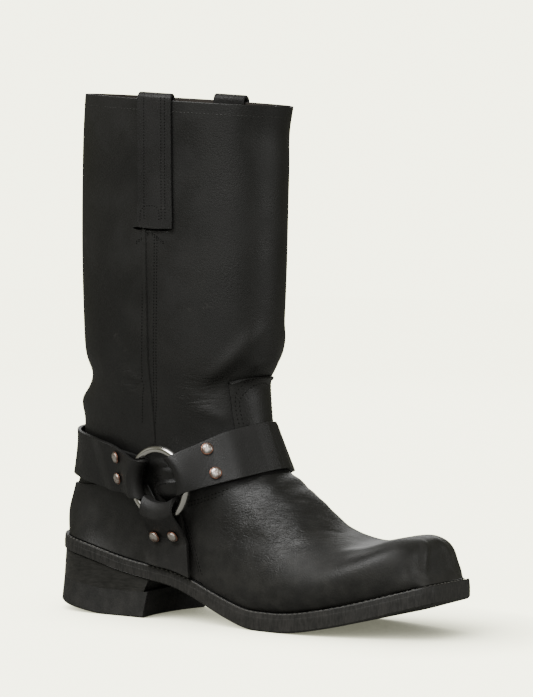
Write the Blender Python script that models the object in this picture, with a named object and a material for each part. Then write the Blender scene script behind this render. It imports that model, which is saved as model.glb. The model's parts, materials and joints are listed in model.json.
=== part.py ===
"""Right harness boot: twelve-inch shaft, blunt square toe, stacked heel, strap harness on two rings.

Metres, +Z up, toe towards +X, outer side of the foot towards -Y. The origin lies on the floor,
under the flat spot of the heel. Run it with blender --background --python part.py.
"""

import math

import bmesh
import bpy
import numpy as np
from mathutils import Vector
from mathutils.bvhtree import BVHTree

# Sole, in plan
REAR_X = -0.060
SOLE_LENGTH = 0.300
BALL_WIDTH = 0.100
WAIST_WIDTH = 0.066
SEAT_WIDTH = 0.070
TOE_WIDTH = 0.062
TOE_CORNER = 0.010
WELT_LEDGE = 0.0045

# Sole, from the side
SEAT_HEIGHT = 0.042
TOE_SPRING = 0.023
OUTSOLE_AT_HEEL = 0.0060
OUTSOLE_AT_BALL = 0.0088
WELT_THICKNESS = 0.0034
INSOLE_THICKNESS = 0.0030

# Heel
BREAST_X = 0.024
BREAST_HOLLOW = 0.0055
BREAST_SLOPE = 0.0030
LIFT_THICKNESS = 0.0170
LIFT_FLARE = 0.0018
HEEL_ROLL_START = -0.0115
HEEL_ROLL_RISE = 0.0066

# Upper
BOOT_HEIGHT = 0.345
COLLAR_DIP = 0.010
ANKLE_HEIGHT = 0.155
SHAFT_AXIS_X = 0.032
SHAFT_DEPTH = 0.154
SHAFT_WIDTH = 0.096
TOE_BOX_HEIGHT = 0.032
LEATHER = 0.0022
OVERLAY = 0.0014
CLEARANCE = 0.0003

# Seams and pull straps
SEAM_X = 0.0345
PIPING_WIDTH = 0.0040
PIPING_HEIGHT = 0.0014
PULL_X = 0.0435
PULL_X_INNER = 0.0370
PULL_WIDTH = 0.0250
PULL_LENGTH = 0.085
PULL_THICKNESS = 0.0019
PULL_LOOP_RISE = 0.0040

# Harness
RING_X = 0.046
RING_Z = 0.0915
RING_OUTER_DIAMETER = 0.050
RING_WIRE = 0.0050
STRAP_WIDTH = 0.032
STRAP_FOLD_WIDTH = 0.0255
STRAP_THICKNESS = 0.0024
STRAP_TAIL = 0.026
STRAP_BLEND = 0.014
STRAP_FRONT_RISE = 22.0
STRAP_REAR_RISE = 9.0
LOWER_STRAP_FOOT_WIDTH = 0.037
FOLD_ROOM = 0.0017
LOWER_STRAP_SLACK = 0.0040
RIVET_DIAMETER = 0.0078
RIVET_DOME = 0.0019

# Plan of the sole: along (share of sole length), then the half-width on the outer and the inner
# side of the foot, as shares of the width named in the row.
PLAN_ROWS = (
    (0.117, "seat", 0.500, 0.500),
    (0.200, "seat", 0.497, 0.494),
    (0.280, "seat", 0.500, 0.460),
    (0.360, "waist", 0.555, 0.440),
    (0.440, "waist", 0.595, 0.432),
    (0.500, "ball", 0.418, 0.325),
    (0.560, "ball", 0.445, 0.400),
    (0.630, "ball", 0.466, 0.485),
    (0.690, "ball", 0.474, 0.520),
    (0.750, "ball", 0.468, 0.510),
    (0.820, "ball", 0.434, 0.462),
    (0.880, "toe", 0.620, 0.670),
    (0.940, "toe", 0.500, 0.580),
    (1.000, "toe", 0.400, 0.480),
)

# Underside of the sole: along (share of sole length), height of the heel seat and of the toe
# spring that the underside has there (shares).
UNDERSIDE_ROWS = (
    (0.000, 1.000, 0.0),
    (0.097, 0.900, 0.0),
    (0.213, 0.700, 0.0),
    (0.290, 0.605, 0.0),
    (0.350, 0.540, 0.0),
    (0.407, 0.425, 0.0),
    (0.453, 0.300, 0.0),
    (0.503, 0.165, 0.0),
    (0.547, 0.067, 0.0),
    (0.580, 0.012, 0.0),
    (0.600, 0.000, 0.000),
    (0.673, 0.0, 0.000),
    (0.710, 0.0, 0.062),
    (0.750, 0.0, 0.150),
    (0.827, 0.0, 0.365),
    (0.917, 0.0, 0.690),
    (1.000, 0.0, 1.000),
)

# Closed rings of the shaft: front and back height (shares of the shaft above the ankle), front
# and back reach from the shaft's axis (shares of shaft depth), half-width (share of shaft width).
SHAFT_RINGS = (
    (1.000, 1.000, 0.522, 0.474, 0.500),
    (0.880, 0.880, 0.508, 0.485, 0.500),
    (0.720, 0.720, 0.497, 0.492, 0.500),
    (0.460, 0.460, 0.488, 0.495, 0.497),
    (0.250, 0.245, 0.478, 0.489, 0.489),
    (0.115, 0.125, 0.465, 0.483, 0.480),
    (0.038, 0.058, 0.426, 0.464, 0.466),
    (-0.003, -0.005, 0.394, 0.448, 0.448),
)

# Closed rings of the ankle: front and back height (shares of the ankle above the heel seat),
# front and back reach from the shaft's axis (shares of shaft depth), half-width (share of
# shaft width).
ANKLE_RINGS = (
    (0.870, 0.850, 0.404, 0.500, 0.428),
    (0.745, 0.720, 0.416, 0.494, 0.408),
    (0.610, 0.545, 0.438, 0.506, 0.392),
)

# Closed rings of the heel turn: front height and place of the ridge, height and place of the
# knee over the waist, height and place of the back. Heights are shares of the ankle above the
# heel seat, places are shares of sole length. Then the outer and inner half-width (shares of
# seat width).
HEEL_RINGS = (
    (0.480, 0.550, 0.395, 0.300, 0.335, 0.022, 0.535, 0.515),
    (0.395, 0.580, 0.215, 0.352, 0.205, 0.006, 0.530, 0.480),
    (0.337, 0.613, 0.040, 0.400, 0.095, 0.002, 0.530, 0.450),
)

# Open arcs of the foot: place of the ridge (share of sole length), its height over the welt
# (share of toe box height), place of the arc's feet on the welt (share of sole length), and how
# square the arc is. The first is the last closed ring, and the last is the toe's own edge.
FOOT_ARCS = (
    (0.640, 2.250, 0.440, 2.12),
    (0.673, 1.965, 0.512, 2.05),
    (0.710, 1.600, 0.574, 2.00),
    (0.750, 1.350, 0.630, 2.00),
    (0.792, 1.175, 0.684, 2.05),
    (0.830, 1.090, 0.735, 2.15),
    (0.865, 1.065, 0.784, 2.25),
    (0.896, 1.050, 0.828, 2.40),
    (0.924, 1.000, 0.868, 2.50),
    (0.946, 0.870, 0.899, 2.45),
    (0.961, 0.650, 0.922, 2.45),
    (0.972, 0.340, 0.938, 2.45),
    (0.985, 0.000, 0.950, 2.80),
)

# Rivets: strap, number, distance from the ring's middle (share of the ring's diameter), distance
# from the strap's middle line (share of strap width).
RIVET_ROWS = (
    ("front", 1, 0.750, 0.287),
    ("front", 2, 0.750, -0.244),
    ("rear", 1, 0.724, 0.266),
    ("rear", 2, 0.790, -0.184),
    ("lower", 1, 0.730, -0.290),
    ("lower", 2, 0.704, 0.222),
)

SHAFT_SQUARENESS = 2.10
KNEE_ANGLE = 2.0 * math.pi / 3.0
OUT_STEPS = 5
STRAP_SHARES = (-0.5, -0.28, 0.0, 0.28, 0.5)
KNEE_TURNS = [KNEE_ANGLE * i / 36 for i in range(37)]
HEEL_TURNS = [KNEE_ANGLE + (math.pi - 0.02 - KNEE_ANGLE) * i / 30 for i in range(31)]
OUTER, INNER = -1, 1

# Where the arch starts and ends, as shares of the sole between the heel's round and the toe.
ARCH_START, ARCH_END = 0.22, 0.64

FIRST_FOOT_RING = len(SHAFT_RINGS) + len(ANKLE_RINGS) + len(HEEL_RINGS)
LAST_RING = FIRST_FOOT_RING + len(FOOT_ARCS) - 1
TAB_TOP_RING = 6.2
OVERLAY_RING = 11.25
TAB_ANGLE = 0.51
TAB_CORNER_DROOP = 0.60
PIPING_END_RING = 9.8

# The cuts that every leather piece shares, so that their facets lie parallel.
SHAFT_CUTS = (0, 1, 2, 3, 4, 5, 5.6, TAB_TOP_RING, 7, 8, 8.8, 9.6, 10.4)
HEEL_CUTS = (OVERLAY_RING, 12, 12.7, 13.4, FIRST_FOOT_RING)
FOOT_CUTS = (14.5, 15, 15.5, 16, 16.5, *range(17, LAST_RING + 1))
FOOT_TURNS = (0, TAB_ANGLE / 2, *[TAB_ANGLE + (KNEE_ANGLE - TAB_ANGLE) * i / 7 for i in range(8)])
REAR_SHARES = (0.10, 0.20, 0.32, 0.46, 0.61, 0.75, 0.85, 0.93, 0.98, 1.0)


def clear_scene():
    for obj in list(bpy.data.objects):
        bpy.data.objects.remove(obj, do_unlink=True)


def finish_material(name, colour, roughness, metallic):
    material = bpy.data.materials.new(name)
    material.use_nodes = True
    shader = material.node_tree.nodes["Principled BSDF"]
    shader.inputs["Base Color"].default_value = (*colour, 1.0)
    shader.inputs["Roughness"].default_value = roughness
    shader.inputs["Metallic"].default_value = metallic
    return material


def make_object(name, bm, material, smooth_angle=40.0):
    """Turns a closed bmesh into a named object whose faces point outwards."""
    bmesh.ops.remove_doubles(bm, verts=bm.verts, dist=1e-6)
    bmesh.ops.recalc_face_normals(bm, faces=bm.faces)
    mesh = bpy.data.meshes.new(name)
    bm.to_mesh(mesh)
    bm.free()
    mesh.shade_smooth()
    mesh.set_sharp_from_angle(angle=math.radians(smooth_angle))
    mesh.materials.append(material)
    obj = bpy.data.objects.new(name, mesh)
    bpy.context.scene.collection.objects.link(obj)
    return obj


def smooth_value(places, values, at):
    """A curve through a table that never overshoots between two of its rows."""
    places = np.asarray(places, float)
    values = np.asarray(values, float)
    gaps = np.diff(places)
    slopes = np.diff(values) / gaps
    tangents = np.zeros(len(places))
    tangents[0] = slopes[0]
    tangents[-1] = slopes[-1]
    for i in range(1, len(places) - 1):
        before, after = slopes[i - 1], slopes[i]
        if before * after > 0:
            weight = (gaps[i - 1] + 2 * gaps[i], 2 * gaps[i - 1] + gaps[i])
            tangents[i] = sum(weight) / (weight[0] / after + weight[1] / before)
    i = int(np.clip(np.searchsorted(places, at) - 1, 0, len(gaps) - 1))
    t = (min(max(at, places[0]), places[-1]) - places[i]) / gaps[i]
    return (
        (1 + 2 * t) * (1 - t) ** 2 * values[i]
        + t * (1 - t) ** 2 * gaps[i] * tangents[i]
        + t * t * (3 - 2 * t) * values[i + 1]
        + t * t * (t - 1) * gaps[i] * tangents[i + 1]
    )


def spread(start, end, steps):
    return [start + (end - start) * i / steps for i in range(steps + 1)]


# Sole


def along(share):
    return REAR_X + share * SOLE_LENGTH


def half_width(x, side):
    """Half-width of the sole on one side, with no rounding at its two ends."""
    widths = {"seat": SEAT_WIDTH, "waist": WAIST_WIDTH, "ball": BALL_WIDTH, "toe": TOE_WIDTH}
    column = 2 if side == OUTER else 3
    places = [along(row[0]) for row in PLAN_ROWS]
    values = [widths[row[1]] * row[column] for row in PLAN_ROWS]
    return smooth_value(places, values, x)


def sole_edge(side, rear_steps=5, toe_steps=3):
    """The sole's edge on one side, from the middle of the heel to the corner of the toe."""
    radius = SEAT_WIDTH / 2
    tip = REAR_X + SOLE_LENGTH
    start, end = REAR_X + radius, tip - TOE_CORNER
    points = []
    for i in range(rear_steps):
        turn = math.pi / 2 * i / rear_steps
        points.append((REAR_X + radius * (1 - math.cos(turn)), radius * math.sin(turn)))
    shares = spread(0.0, ARCH_START, 4) + spread(ARCH_START, ARCH_END, 12)[1:]
    for share in shares + spread(ARCH_END, 1.0, 7)[1:-1]:
        x = start + (end - start) * share
        points.append((x, half_width(x, side)))
    for i in range(toe_steps + 1):
        turn = math.pi / 2 * i / toe_steps
        x = tip - TOE_CORNER * (1 - math.sin(turn))
        points.append((x, half_width(x, side) - TOE_CORNER * (1 - math.cos(turn))))
    return np.array([(x, side * y) for x, y in points])


def inset_edge(side, inset):
    """The sole's edge moved inwards, square to itself."""
    edge = sole_edge(side)
    other = sole_edge(-side)
    line = np.vstack([other[1], edge, other[-1]])
    run = line[2:] - line[:-2]
    run[0] = (0.0, side)
    run[-1] = edge[-1] - edge[-2] + (other[-1] - edge[-1]) * 0.5
    run /= np.linalg.norm(run, axis=1)[:, None]
    inward = np.stack([run[:, 1], -run[:, 0]], axis=1) * side
    return edge + inward * inset


def underside(x):
    """Height of the sole's underside: heel seat, arch, flat tread and toe spring."""
    places = [along(row[0]) for row in UNDERSIDE_ROWS]
    heights = [row[1] * SEAT_HEIGHT + row[2] * TOE_SPRING for row in UNDERSIDE_ROWS]
    return smooth_value(places, heights, x)


def outsole_top(x):
    shares = (0.25, 0.60)
    places = [along(share) for share in (0.0, *shares, 1.0)]
    thickness = (OUTSOLE_AT_HEEL, OUTSOLE_AT_HEEL, OUTSOLE_AT_BALL, OUTSOLE_AT_BALL)
    return underside(x) + smooth_value(places, thickness, x)


def welt_bottom(x):
    return outsole_top(x) + CLEARANCE


def welt_top(x):
    return welt_bottom(x) + WELT_THICKNESS


def upper_foot(x):
    return welt_top(x) + 2 * CLEARANCE


def tread(x):
    """Underside of the heel: a flat spot behind the breast, then a roll up to the back."""
    back = max(HEEL_ROLL_START - x, 0.0) / (HEEL_ROLL_START - REAR_X)
    return HEEL_ROLL_RISE * back


def lift_top(x):
    return tread(x) + LIFT_THICKNESS


def slab(name, material, bottom, top, profile, breast=None, across=3):
    """A layer of the sole between two height functions.

    profile lists (inset of the edge, share of the height) from the bottom up. breast cuts the
    layer short, at a hollowed face that leans forward to its top.
    """
    bm = bmesh.new()
    loops = []
    sheets = []
    for inset, level in profile:
        sides = [inset_edge(side, inset) for side in (OUTER, INNER)]
        if breast is not None:
            sides = [cut_at_breast(side, breast) for side in sides]
        sheet = []
        for outer, inner in zip(*sides):
            row = []
            for j in range(across + 1):
                share = j / across
                x, y = outer * (1 - share) + inner * share
                if breast is not None:
                    x = breast_x(x, 2 * share - 1, level, breast)
                z = bottom(x) * (1 - level) + top(x) * level
                row.append(bm.verts.new((x, y, z)))
            sheet.append(row)
        sheets.append(sheet)
        border = [row[0] for row in sheet] + sheet[-1][1:-1] + [row[-1] for row in sheet[::-1]]
        loops.append(border)
    for sheet in (sheets[0], sheets[-1]):
        for first, second in zip(sheet, sheet[1:]):
            for j in range(across):
                bm.faces.new((first[j], first[j + 1], second[j + 1], second[j]))
    for lower, upper in zip(loops, loops[1:]):
        for i in range(len(lower)):
            j = (i + 1) % len(lower)
            bm.faces.new((lower[i], lower[j], upper[j], upper[i]))
    # The row at the very back has no width, so its faces shrink to triangles here.
    bmesh.ops.remove_doubles(bm, verts=bm.verts, dist=1e-6)
    bmesh.ops.dissolve_degenerate(bm, edges=bm.edges, dist=1e-7)
    bmesh.ops.triangulate(bm, faces=bm.faces)
    return make_object(name, bm, material)


def cut_at_breast(edge, breast):
    """The part of an edge behind the breast, closed by a point on it."""
    behind = edge[edge[:, 0] < breast - 0.002]
    y = np.interp(breast, edge[:, 0], edge[:, 1])
    return np.vstack([behind, (breast, y)])


def breast_x(x, across, level, breast):
    """Moves a point of a heel layer so that the breast is hollow and leans forward to its top."""
    near = max(0.0, 1 - (breast - x) / 0.030)
    hollow = BREAST_HOLLOW * (1 - across * across)
    return x + near * (BREAST_SLOPE * level - hollow)


# Upper


def smooth_step(value):
    t = min(max(value, 0.0), 1.0)
    return t * t * (3 - 2 * t)


def feather_line(side, points=160):
    """Where the upper meets the welt on one side, from the middle of the toe to the heel."""
    edge = inset_edge(side, WELT_LEDGE)
    other = inset_edge(-side, WELT_LEDGE)
    line = np.vstack([edge, (edge[-1] + other[-1]) / 2])[::-1]
    steps = np.r_[0, np.cumsum(np.linalg.norm(np.diff(line, axis=0), axis=1))]
    spread = np.linspace(0, steps[-1], points)
    return np.stack([np.interp(spread, steps, line[:, 0]), np.interp(spread, steps, line[:, 1])], 1)


def line_width_at(line, x):
    """Distance from the middle of a feather line at x, counted off the toe's front edge."""
    return abs(float(np.interp(-x, -line[:, 0], line[:, 1])))


def arc_share(angle, squareness):
    return (1 - abs(math.cos(angle)) ** squareness) ** (1 / squareness)


class Upper:
    """The leather's outer face, as closed rings down the shaft and heel, then arcs to the toe."""

    def __init__(self):
        self.lines = {side: feather_line(side) for side in (OUTER, INNER)}
        self.rows = np.array([self.ring_row(i) for i in range(LAST_RING + 1)])
        self.heels = {side: self.heel_shape(side) for side in (OUTER, INNER)}
        self.toes = {side: self.toe_edge(side) for side in (OUTER, INNER)}

    def ring_row(self, i):
        """Ridge, knee and back (x, z each), half-width on both sides, squareness."""
        seat = upper_foot(REAR_X)
        knee = (1 - math.cos(KNEE_ANGLE)) / 2
        ankle = ANKLE_HEIGHT - seat
        if i < len(SHAFT_RINGS) + len(ANKLE_RINGS):
            if i < len(SHAFT_RINGS):
                front_z, back_z, front, back, width = SHAFT_RINGS[i]
                shaft = BOOT_HEIGHT - ANKLE_HEIGHT
                dip = COLLAR_DIP * max(front_z, 0.0)
                front_z = ANKLE_HEIGHT + front_z * shaft - dip
                back_z = ANKLE_HEIGHT + back_z * shaft
            else:
                front_z, back_z, front, back, width = ANKLE_RINGS[i - len(SHAFT_RINGS)]
                front_z, back_z = seat + front_z * ankle, seat + back_z * ankle
            ridge = (SHAFT_AXIS_X + front * SHAFT_DEPTH, front_z)
            back = (SHAFT_AXIS_X - back * SHAFT_DEPTH, back_z)
            middle = [r + (b - r) * knee for r, b in zip(ridge, back)]
            width *= SHAFT_WIDTH
            return [*ridge, *middle, *back, width, width, SHAFT_SQUARENESS]
        if i < FIRST_FOOT_RING:
            row = HEEL_RINGS[i - len(SHAFT_RINGS) - len(ANKLE_RINGS)]
            front_z, front, knee_z, knee_x, back_z, back, outer, inner = row
            return [
                along(front),
                seat + front_z * ankle,
                along(knee_x),
                seat + knee_z * ankle,
                along(back),
                seat + back_z * ankle,
                outer * SEAT_WIDTH,
                inner * SEAT_WIDTH,
                SHAFT_SQUARENESS,
            ]
        front, height, foot, squareness = FOOT_ARCS[i - FIRST_FOOT_RING]
        x = along(foot)
        share = arc_share(KNEE_ANGLE, squareness)
        widths = [line_width_at(self.lines[side], x) / share for side in (OUTER, INNER)]
        ridge_x = along(front) if i < LAST_RING else self.lines[OUTER][0][0]
        ridge_z = upper_foot(ridge_x) + height * TOE_BOX_HEIGHT
        heel = self.lines[OUTER][-1][0]
        back_z = upper_foot(heel)
        return [ridge_x, ridge_z, x, upper_foot(x), heel, back_z, *widths, squareness]

    def heel_shape(self, side):
        """How much wider than its arc the heel's edge is, from the knee to the back."""
        row = self.rows[FIRST_FOOT_RING]
        width = row[6] if side == OUTER else row[7]
        s_knee = (1 - math.cos(KNEE_ANGLE)) / 2
        shape = []
        for turn in HEEL_TURNS:
            behind = ((1 - math.cos(turn)) / 2 - s_knee) / (1 - s_knee)
            x = row[2] + (row[4] - row[2]) * behind
            shape.append(line_width_at(self.lines[side], x) / (width * arc_share(turn, row[8])))
        return shape

    def row_at(self, ring):
        """A Catmull-Rom curve through the rows."""
        ring = min(max(ring, 0.0), float(LAST_RING))
        i = min(int(ring), LAST_RING - 1)
        t = ring - i
        before, start = self.rows[max(i - 1, 0)], self.rows[i]
        end, after = self.rows[i + 1], self.rows[min(i + 2, LAST_RING)]
        return 0.5 * (
            2 * start
            + (end - before) * t
            + (2 * before - 5 * start + 4 * end - after) * t * t
            + (3 * start - before - 3 * end + after) * t**3
        )

    def arc(self, ring, angle):
        """A point of a ring or an arc, before the toe's own edge."""
        side = INNER if angle > 0 else OUTER
        turn = abs(angle)
        if turn > math.pi:
            side, turn = -side, 2 * math.pi - turn
        row = self.row_at(ring)
        ridge, knee, back = row[0:2], row[2:4], row[4:6]
        width = row[6] if side == OUTER else row[7]
        if ring > FIRST_FOOT_RING:
            knee = np.array((knee[0], upper_foot(knee[0])))
            width = line_width_at(self.lines[side], knee[0]) / arc_share(KNEE_ANGLE, row[8])
        s = (1 - math.cos(turn)) / 2
        s_knee = (1 - math.cos(KNEE_ANGLE)) / 2
        if s <= s_knee:
            x, z = ridge + (knee - ridge) * s / s_knee
        else:
            behind = (s - s_knee) / (1 - s_knee)
            x, z = knee + (back - knee) * behind
        y = width * arc_share(turn, row[8])
        to_heel = 1 - min(abs(ring - FIRST_FOOT_RING) / 2.0, 1.0)
        if to_heel > 0 and turn > KNEE_ANGLE:
            y *= 1 + (np.interp(turn, HEEL_TURNS, self.heels[side]) - 1) * to_heel
            start, end = upper_foot(knee[0]), upper_foot(back[0])
            z += (upper_foot(x) - start - (end - start) * behind) * to_heel
        return np.array((x, side * y, z))

    def toe_edge(self, side):
        """The toe's own edge, at the shares of its length that the arc above it has."""
        arc = np.array([self.arc(LAST_RING - 1, side * turn) for turn in KNEE_TURNS])
        steps = np.r_[0, np.cumsum(np.linalg.norm(np.diff(arc, axis=0), axis=1))]
        line = self.lines[side]
        last = int(np.argmin(abs(line[: len(line) // 4, 0] - self.rows[-1][2])))
        places = last * steps / steps[-1]
        edge = [[np.interp(p, np.arange(len(line)), line[:, k]) for k in (0, 1)] for p in places]
        return np.array([(x, y, upper_foot(x)) for x, y in edge])

    def face(self, ring, angle):
        """A point of the outer face. angle is 0 on the front ridge, and its sign is the side."""
        near_toe = ring - (LAST_RING - 1)
        if near_toe <= 0:
            return self.arc(ring, angle)
        turn, side = abs(angle), INNER if angle > 0 else OUTER
        edge = np.array([np.interp(turn, KNEE_TURNS, column) for column in self.toes[side].T])
        if turn == 0:
            edge[1] = self.lines[side][0][1]
        return self.arc(LAST_RING - 1, angle) * (1 - near_toe) + edge * near_toe

    def normal(self, ring, angle):
        """The outward normal, level where the leather ends at the collar or on the welt."""
        step_ring, step_angle = 0.04, 0.02
        low, high = max(ring - step_ring, 0.0), min(ring + step_ring, float(LAST_RING))
        if abs(angle) > KNEE_ANGLE - 1e-6 and high > FIRST_FOOT_RING >= ring:
            high = float(FIRST_FOOT_RING)
        down = self.face(high, angle) - self.face(low, angle)
        if abs(abs(angle) - KNEE_ANGLE) < 1e-6 and ring >= FIRST_FOOT_RING:
            toward = angle - math.copysign(step_angle, angle)
            turn = (self.face(ring, angle) - self.face(ring, toward)) * math.copysign(1, angle)
        else:
            turn = self.face(ring, angle + step_angle) - self.face(ring, angle - step_angle)
        normal = np.cross(down, turn)
        if self.is_edge(ring, angle):
            normal[2] = 0.0
        return normal / np.linalg.norm(normal)

    @staticmethod
    def is_edge(ring, angle):
        at_knee = ring >= FIRST_FOOT_RING and abs(angle) >= KNEE_ANGLE - 1e-6
        return ring <= 0 or ring >= LAST_RING or at_knee

    def point(self, ring, angle, lift=0.0):
        """A point at a distance from the outer face, outwards if lift is positive."""
        return self.face(ring, angle) + self.normal(ring, angle) * lift


def heel_turn(share):
    """The turn at which a ring has gone this share of the way from the knee to the back."""
    knee = math.cos(KNEE_ANGLE)
    return math.acos(max(knee - share * (1 + knee), -1.0))


def ring_angles():
    """Angles from the middle of the back round the outer side, the front and the inner side."""
    side = [*FOOT_TURNS, *[heel_turn(share) for share in REAR_SHARES]]
    return [-a for a in side[::-1]] + side[1:-1]


def wall(name, material, form, rings, angles, inner, outer, wanted=None, top_droop=None):
    """A skin between two distances from the upper's face, over the cells that wanted accepts.

    angles may run past half a turn. A cell is left out where it lies off the leather. top_droop
    lowers the first ring, at each angle, by a share of the way to the second.
    """
    round_trip = abs(angles[-1] - angles[0]) > 2 * math.pi - 0.6 and len(angles) > 20
    columns = len(angles) if round_trip else len(angles) - 1
    cells = set()
    for i in range(len(rings) - 1):
        for j in range(columns):
            middle_ring = (rings[i] + rings[i + 1]) / 2
            ends = (angles[j], angles[(j + 1) % len(angles)])
            if round_trip and j == columns - 1:
                ends = (angles[j], angles[0] + 2 * math.pi)
            middle = sum(ends) / 2
            turn = abs(middle) if abs(middle) <= math.pi else 2 * math.pi - abs(middle)
            on_leather = middle_ring < FIRST_FOOT_RING or turn < KNEE_ANGLE
            if on_leather and (wanted is None or wanted(middle_ring, turn)):
                cells.add((i, j))
    used = set()
    for i, j in cells:
        k = (j + 1) % len(angles)
        used |= {(i, j), (i, k), (i + 1, k), (i + 1, j)}
    bm = bmesh.new()
    layers = []
    for lift in (inner, outer):
        layer = {}
        for i, j in sorted(used):
            point = form.point(rings[i], angles[j], lift)
            if top_droop and i == 0:
                point += (form.point(rings[1], angles[j], lift) - point) * top_droop(angles[j])
            layer[i, j] = bm.verts.new(point)
        layers.append(layer)
    borders = {}
    for i, j in cells:
        k = (j + 1) % len(angles)
        corners = [(i, j), (i, k), (i + 1, k), (i + 1, j)]
        for layer in layers:
            bm.faces.new([layer[corner] for corner in corners])
        for a, b in zip(corners, corners[1:] + corners[:1]):
            key = tuple(sorted((a, b)))
            borders[key] = borders.get(key, 0) + 1
    for (a, b), count in borders.items():
        if count == 1:
            bm.faces.new((layers[0][a], layers[0][b], layers[1][b], layers[1][a]))
    return make_object(name, bm, material, smooth_angle=50.0)


def make_upper(form, leather):
    rings = [*SHAFT_CUTS, *HEEL_CUTS, *FOOT_CUTS]
    return wall("upper", leather, form, rings, ring_angles(), -LEATHER, 0.0)


def make_vamp(form, leather):
    """The vamp: a tongue tab up the front of the shaft, and wings down to the welt."""
    rings = [ring for ring in SHAFT_CUTS if ring >= TAB_TOP_RING] + [*HEEL_CUTS, *FOOT_CUTS]
    angles = [-a for a in FOOT_TURNS[::-1]] + list(FOOT_TURNS[1:])

    def in_vamp(ring, turn):
        return ring > OVERLAY_RING or turn < TAB_ANGLE

    def droop(angle):
        return TAB_CORNER_DROOP * min(abs(angle) / TAB_ANGLE, 1.0) ** 4

    lifts = (CLEARANCE, CLEARANCE + OVERLAY)
    return wall("vamp", leather, form, rings, angles, *lifts, in_vamp, droop)


def make_counter(form, leather):
    """The counter round the back of the heel."""
    turns = [heel_turn(share) for share in REAR_SHARES]
    angles = turns + [2 * math.pi - turn for turn in turns[-2::-1]]
    return wall("counter", leather, form, HEEL_CUTS, angles, CLEARANCE, CLEARANCE + OVERLAY)


def angle_at_x(form, ring, side, x):
    """The angle at which a ring passes x on one side."""
    low, high = 0.2, math.pi - 0.2
    for _ in range(30):
        middle = (low + high) / 2
        if form.face(ring, side * middle)[0] > x:
            low = middle
        else:
            high = middle
    return side * (low + high) / 2


def make_piping(name, form, side, leather):
    """The raised seam that runs down the middle of the shaft's side."""
    bm = bmesh.new()
    loops = []
    top_ring = ring_below_collar(PULL_LENGTH + 4 * CLEARANCE)
    for ring in spread(top_ring, PIPING_END_RING, 14):
        corners = []
        for offset, lift in ((-1, 0), (1, 0), (0.6, 1), (-0.6, 1)):
            angle = angle_at_x(form, ring, side, SEAM_X + offset * PIPING_WIDTH / 2)
            corners.append(form.point(ring, angle, CLEARANCE + lift * PIPING_HEIGHT))
        loops.append([bm.verts.new(corner) for corner in corners])
    join_loops(bm, loops)
    return make_object(name, bm, leather)


def join_loops(bm, loops, capped=True):
    """Faces between loops of equal length, with both ends closed."""
    count = len(loops[0])
    for first, second in zip(loops, loops[1:]):
        for j in range(count):
            k = (j + 1) % count
            bm.faces.new((first[j], first[k], second[k], second[j]))
    if capped:
        bm.faces.new(loops[0])
        bm.faces.new(loops[-1][::-1])


def ribbon(name, rows, thickness, material):
    """A strap of even thickness about rows of points that run across it."""
    bm = bmesh.new()
    loops = []
    rows = [np.array(row) for row in rows]
    for i, row in enumerate(rows):
        run = rows[min(i + 1, len(rows) - 1)] - rows[max(i - 1, 0)]
        across = np.gradient(row, axis=0)
        normal = np.cross(across, run)
        normal /= np.linalg.norm(normal, axis=1)[:, None]
        near = [bm.verts.new(point) for point in row - normal * thickness / 2]
        far = [bm.verts.new(point) for point in row + normal * thickness / 2]
        loops.append(near + far[::-1])
    join_loops(bm, loops)
    return make_object(name, bm, material)


def make_pull_strap(name, form, side, leather):
    """A strap over the collar, sewn down outside and inside the shaft."""
    outer_lift = CLEARANCE + PULL_THICKNESS / 2
    inner_lift = -LEATHER - 3 * CLEARANCE - PULL_THICKNESS / 2
    last_ring = ring_below_collar(PULL_LENGTH)
    stations = [(ring, outer_lift, 0.0) for ring in spread(last_ring, 0.0, 5)]
    middle, reach = (outer_lift + inner_lift) / 2, (outer_lift - inner_lift) / 2
    middle_x = PULL_X if side == OUTER else PULL_X_INNER
    for i in range(1, 6):
        turn = math.pi * i / 6
        stations.append((0.0, middle + reach * math.cos(turn), PULL_LOOP_RISE * math.sin(turn)))
    stations += [(ring, inner_lift, 0.0) for ring in spread(0.0, last_ring * 0.8, 5)]
    rows = []
    for ring, lift, above in stations:
        row = []
        for share in (-0.5, 0.0, 0.5):
            angle = angle_at_x(form, ring, side, middle_x + share * PULL_WIDTH)
            row.append(form.point(ring, angle, lift) + np.array((0, 0, above)))
        rows.append(row)
    return ribbon(name, rows, PULL_THICKNESS, leather)


def ring_below_collar(drop):
    """The ring of the shaft that lies this far below the collar."""
    shaft = BOOT_HEIGHT - ANKLE_HEIGHT
    heights = [row[1] * shaft for row in SHAFT_RINGS]
    return float(np.interp(drop - shaft, [-h for h in heights], range(len(heights))))


# Harness


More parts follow.
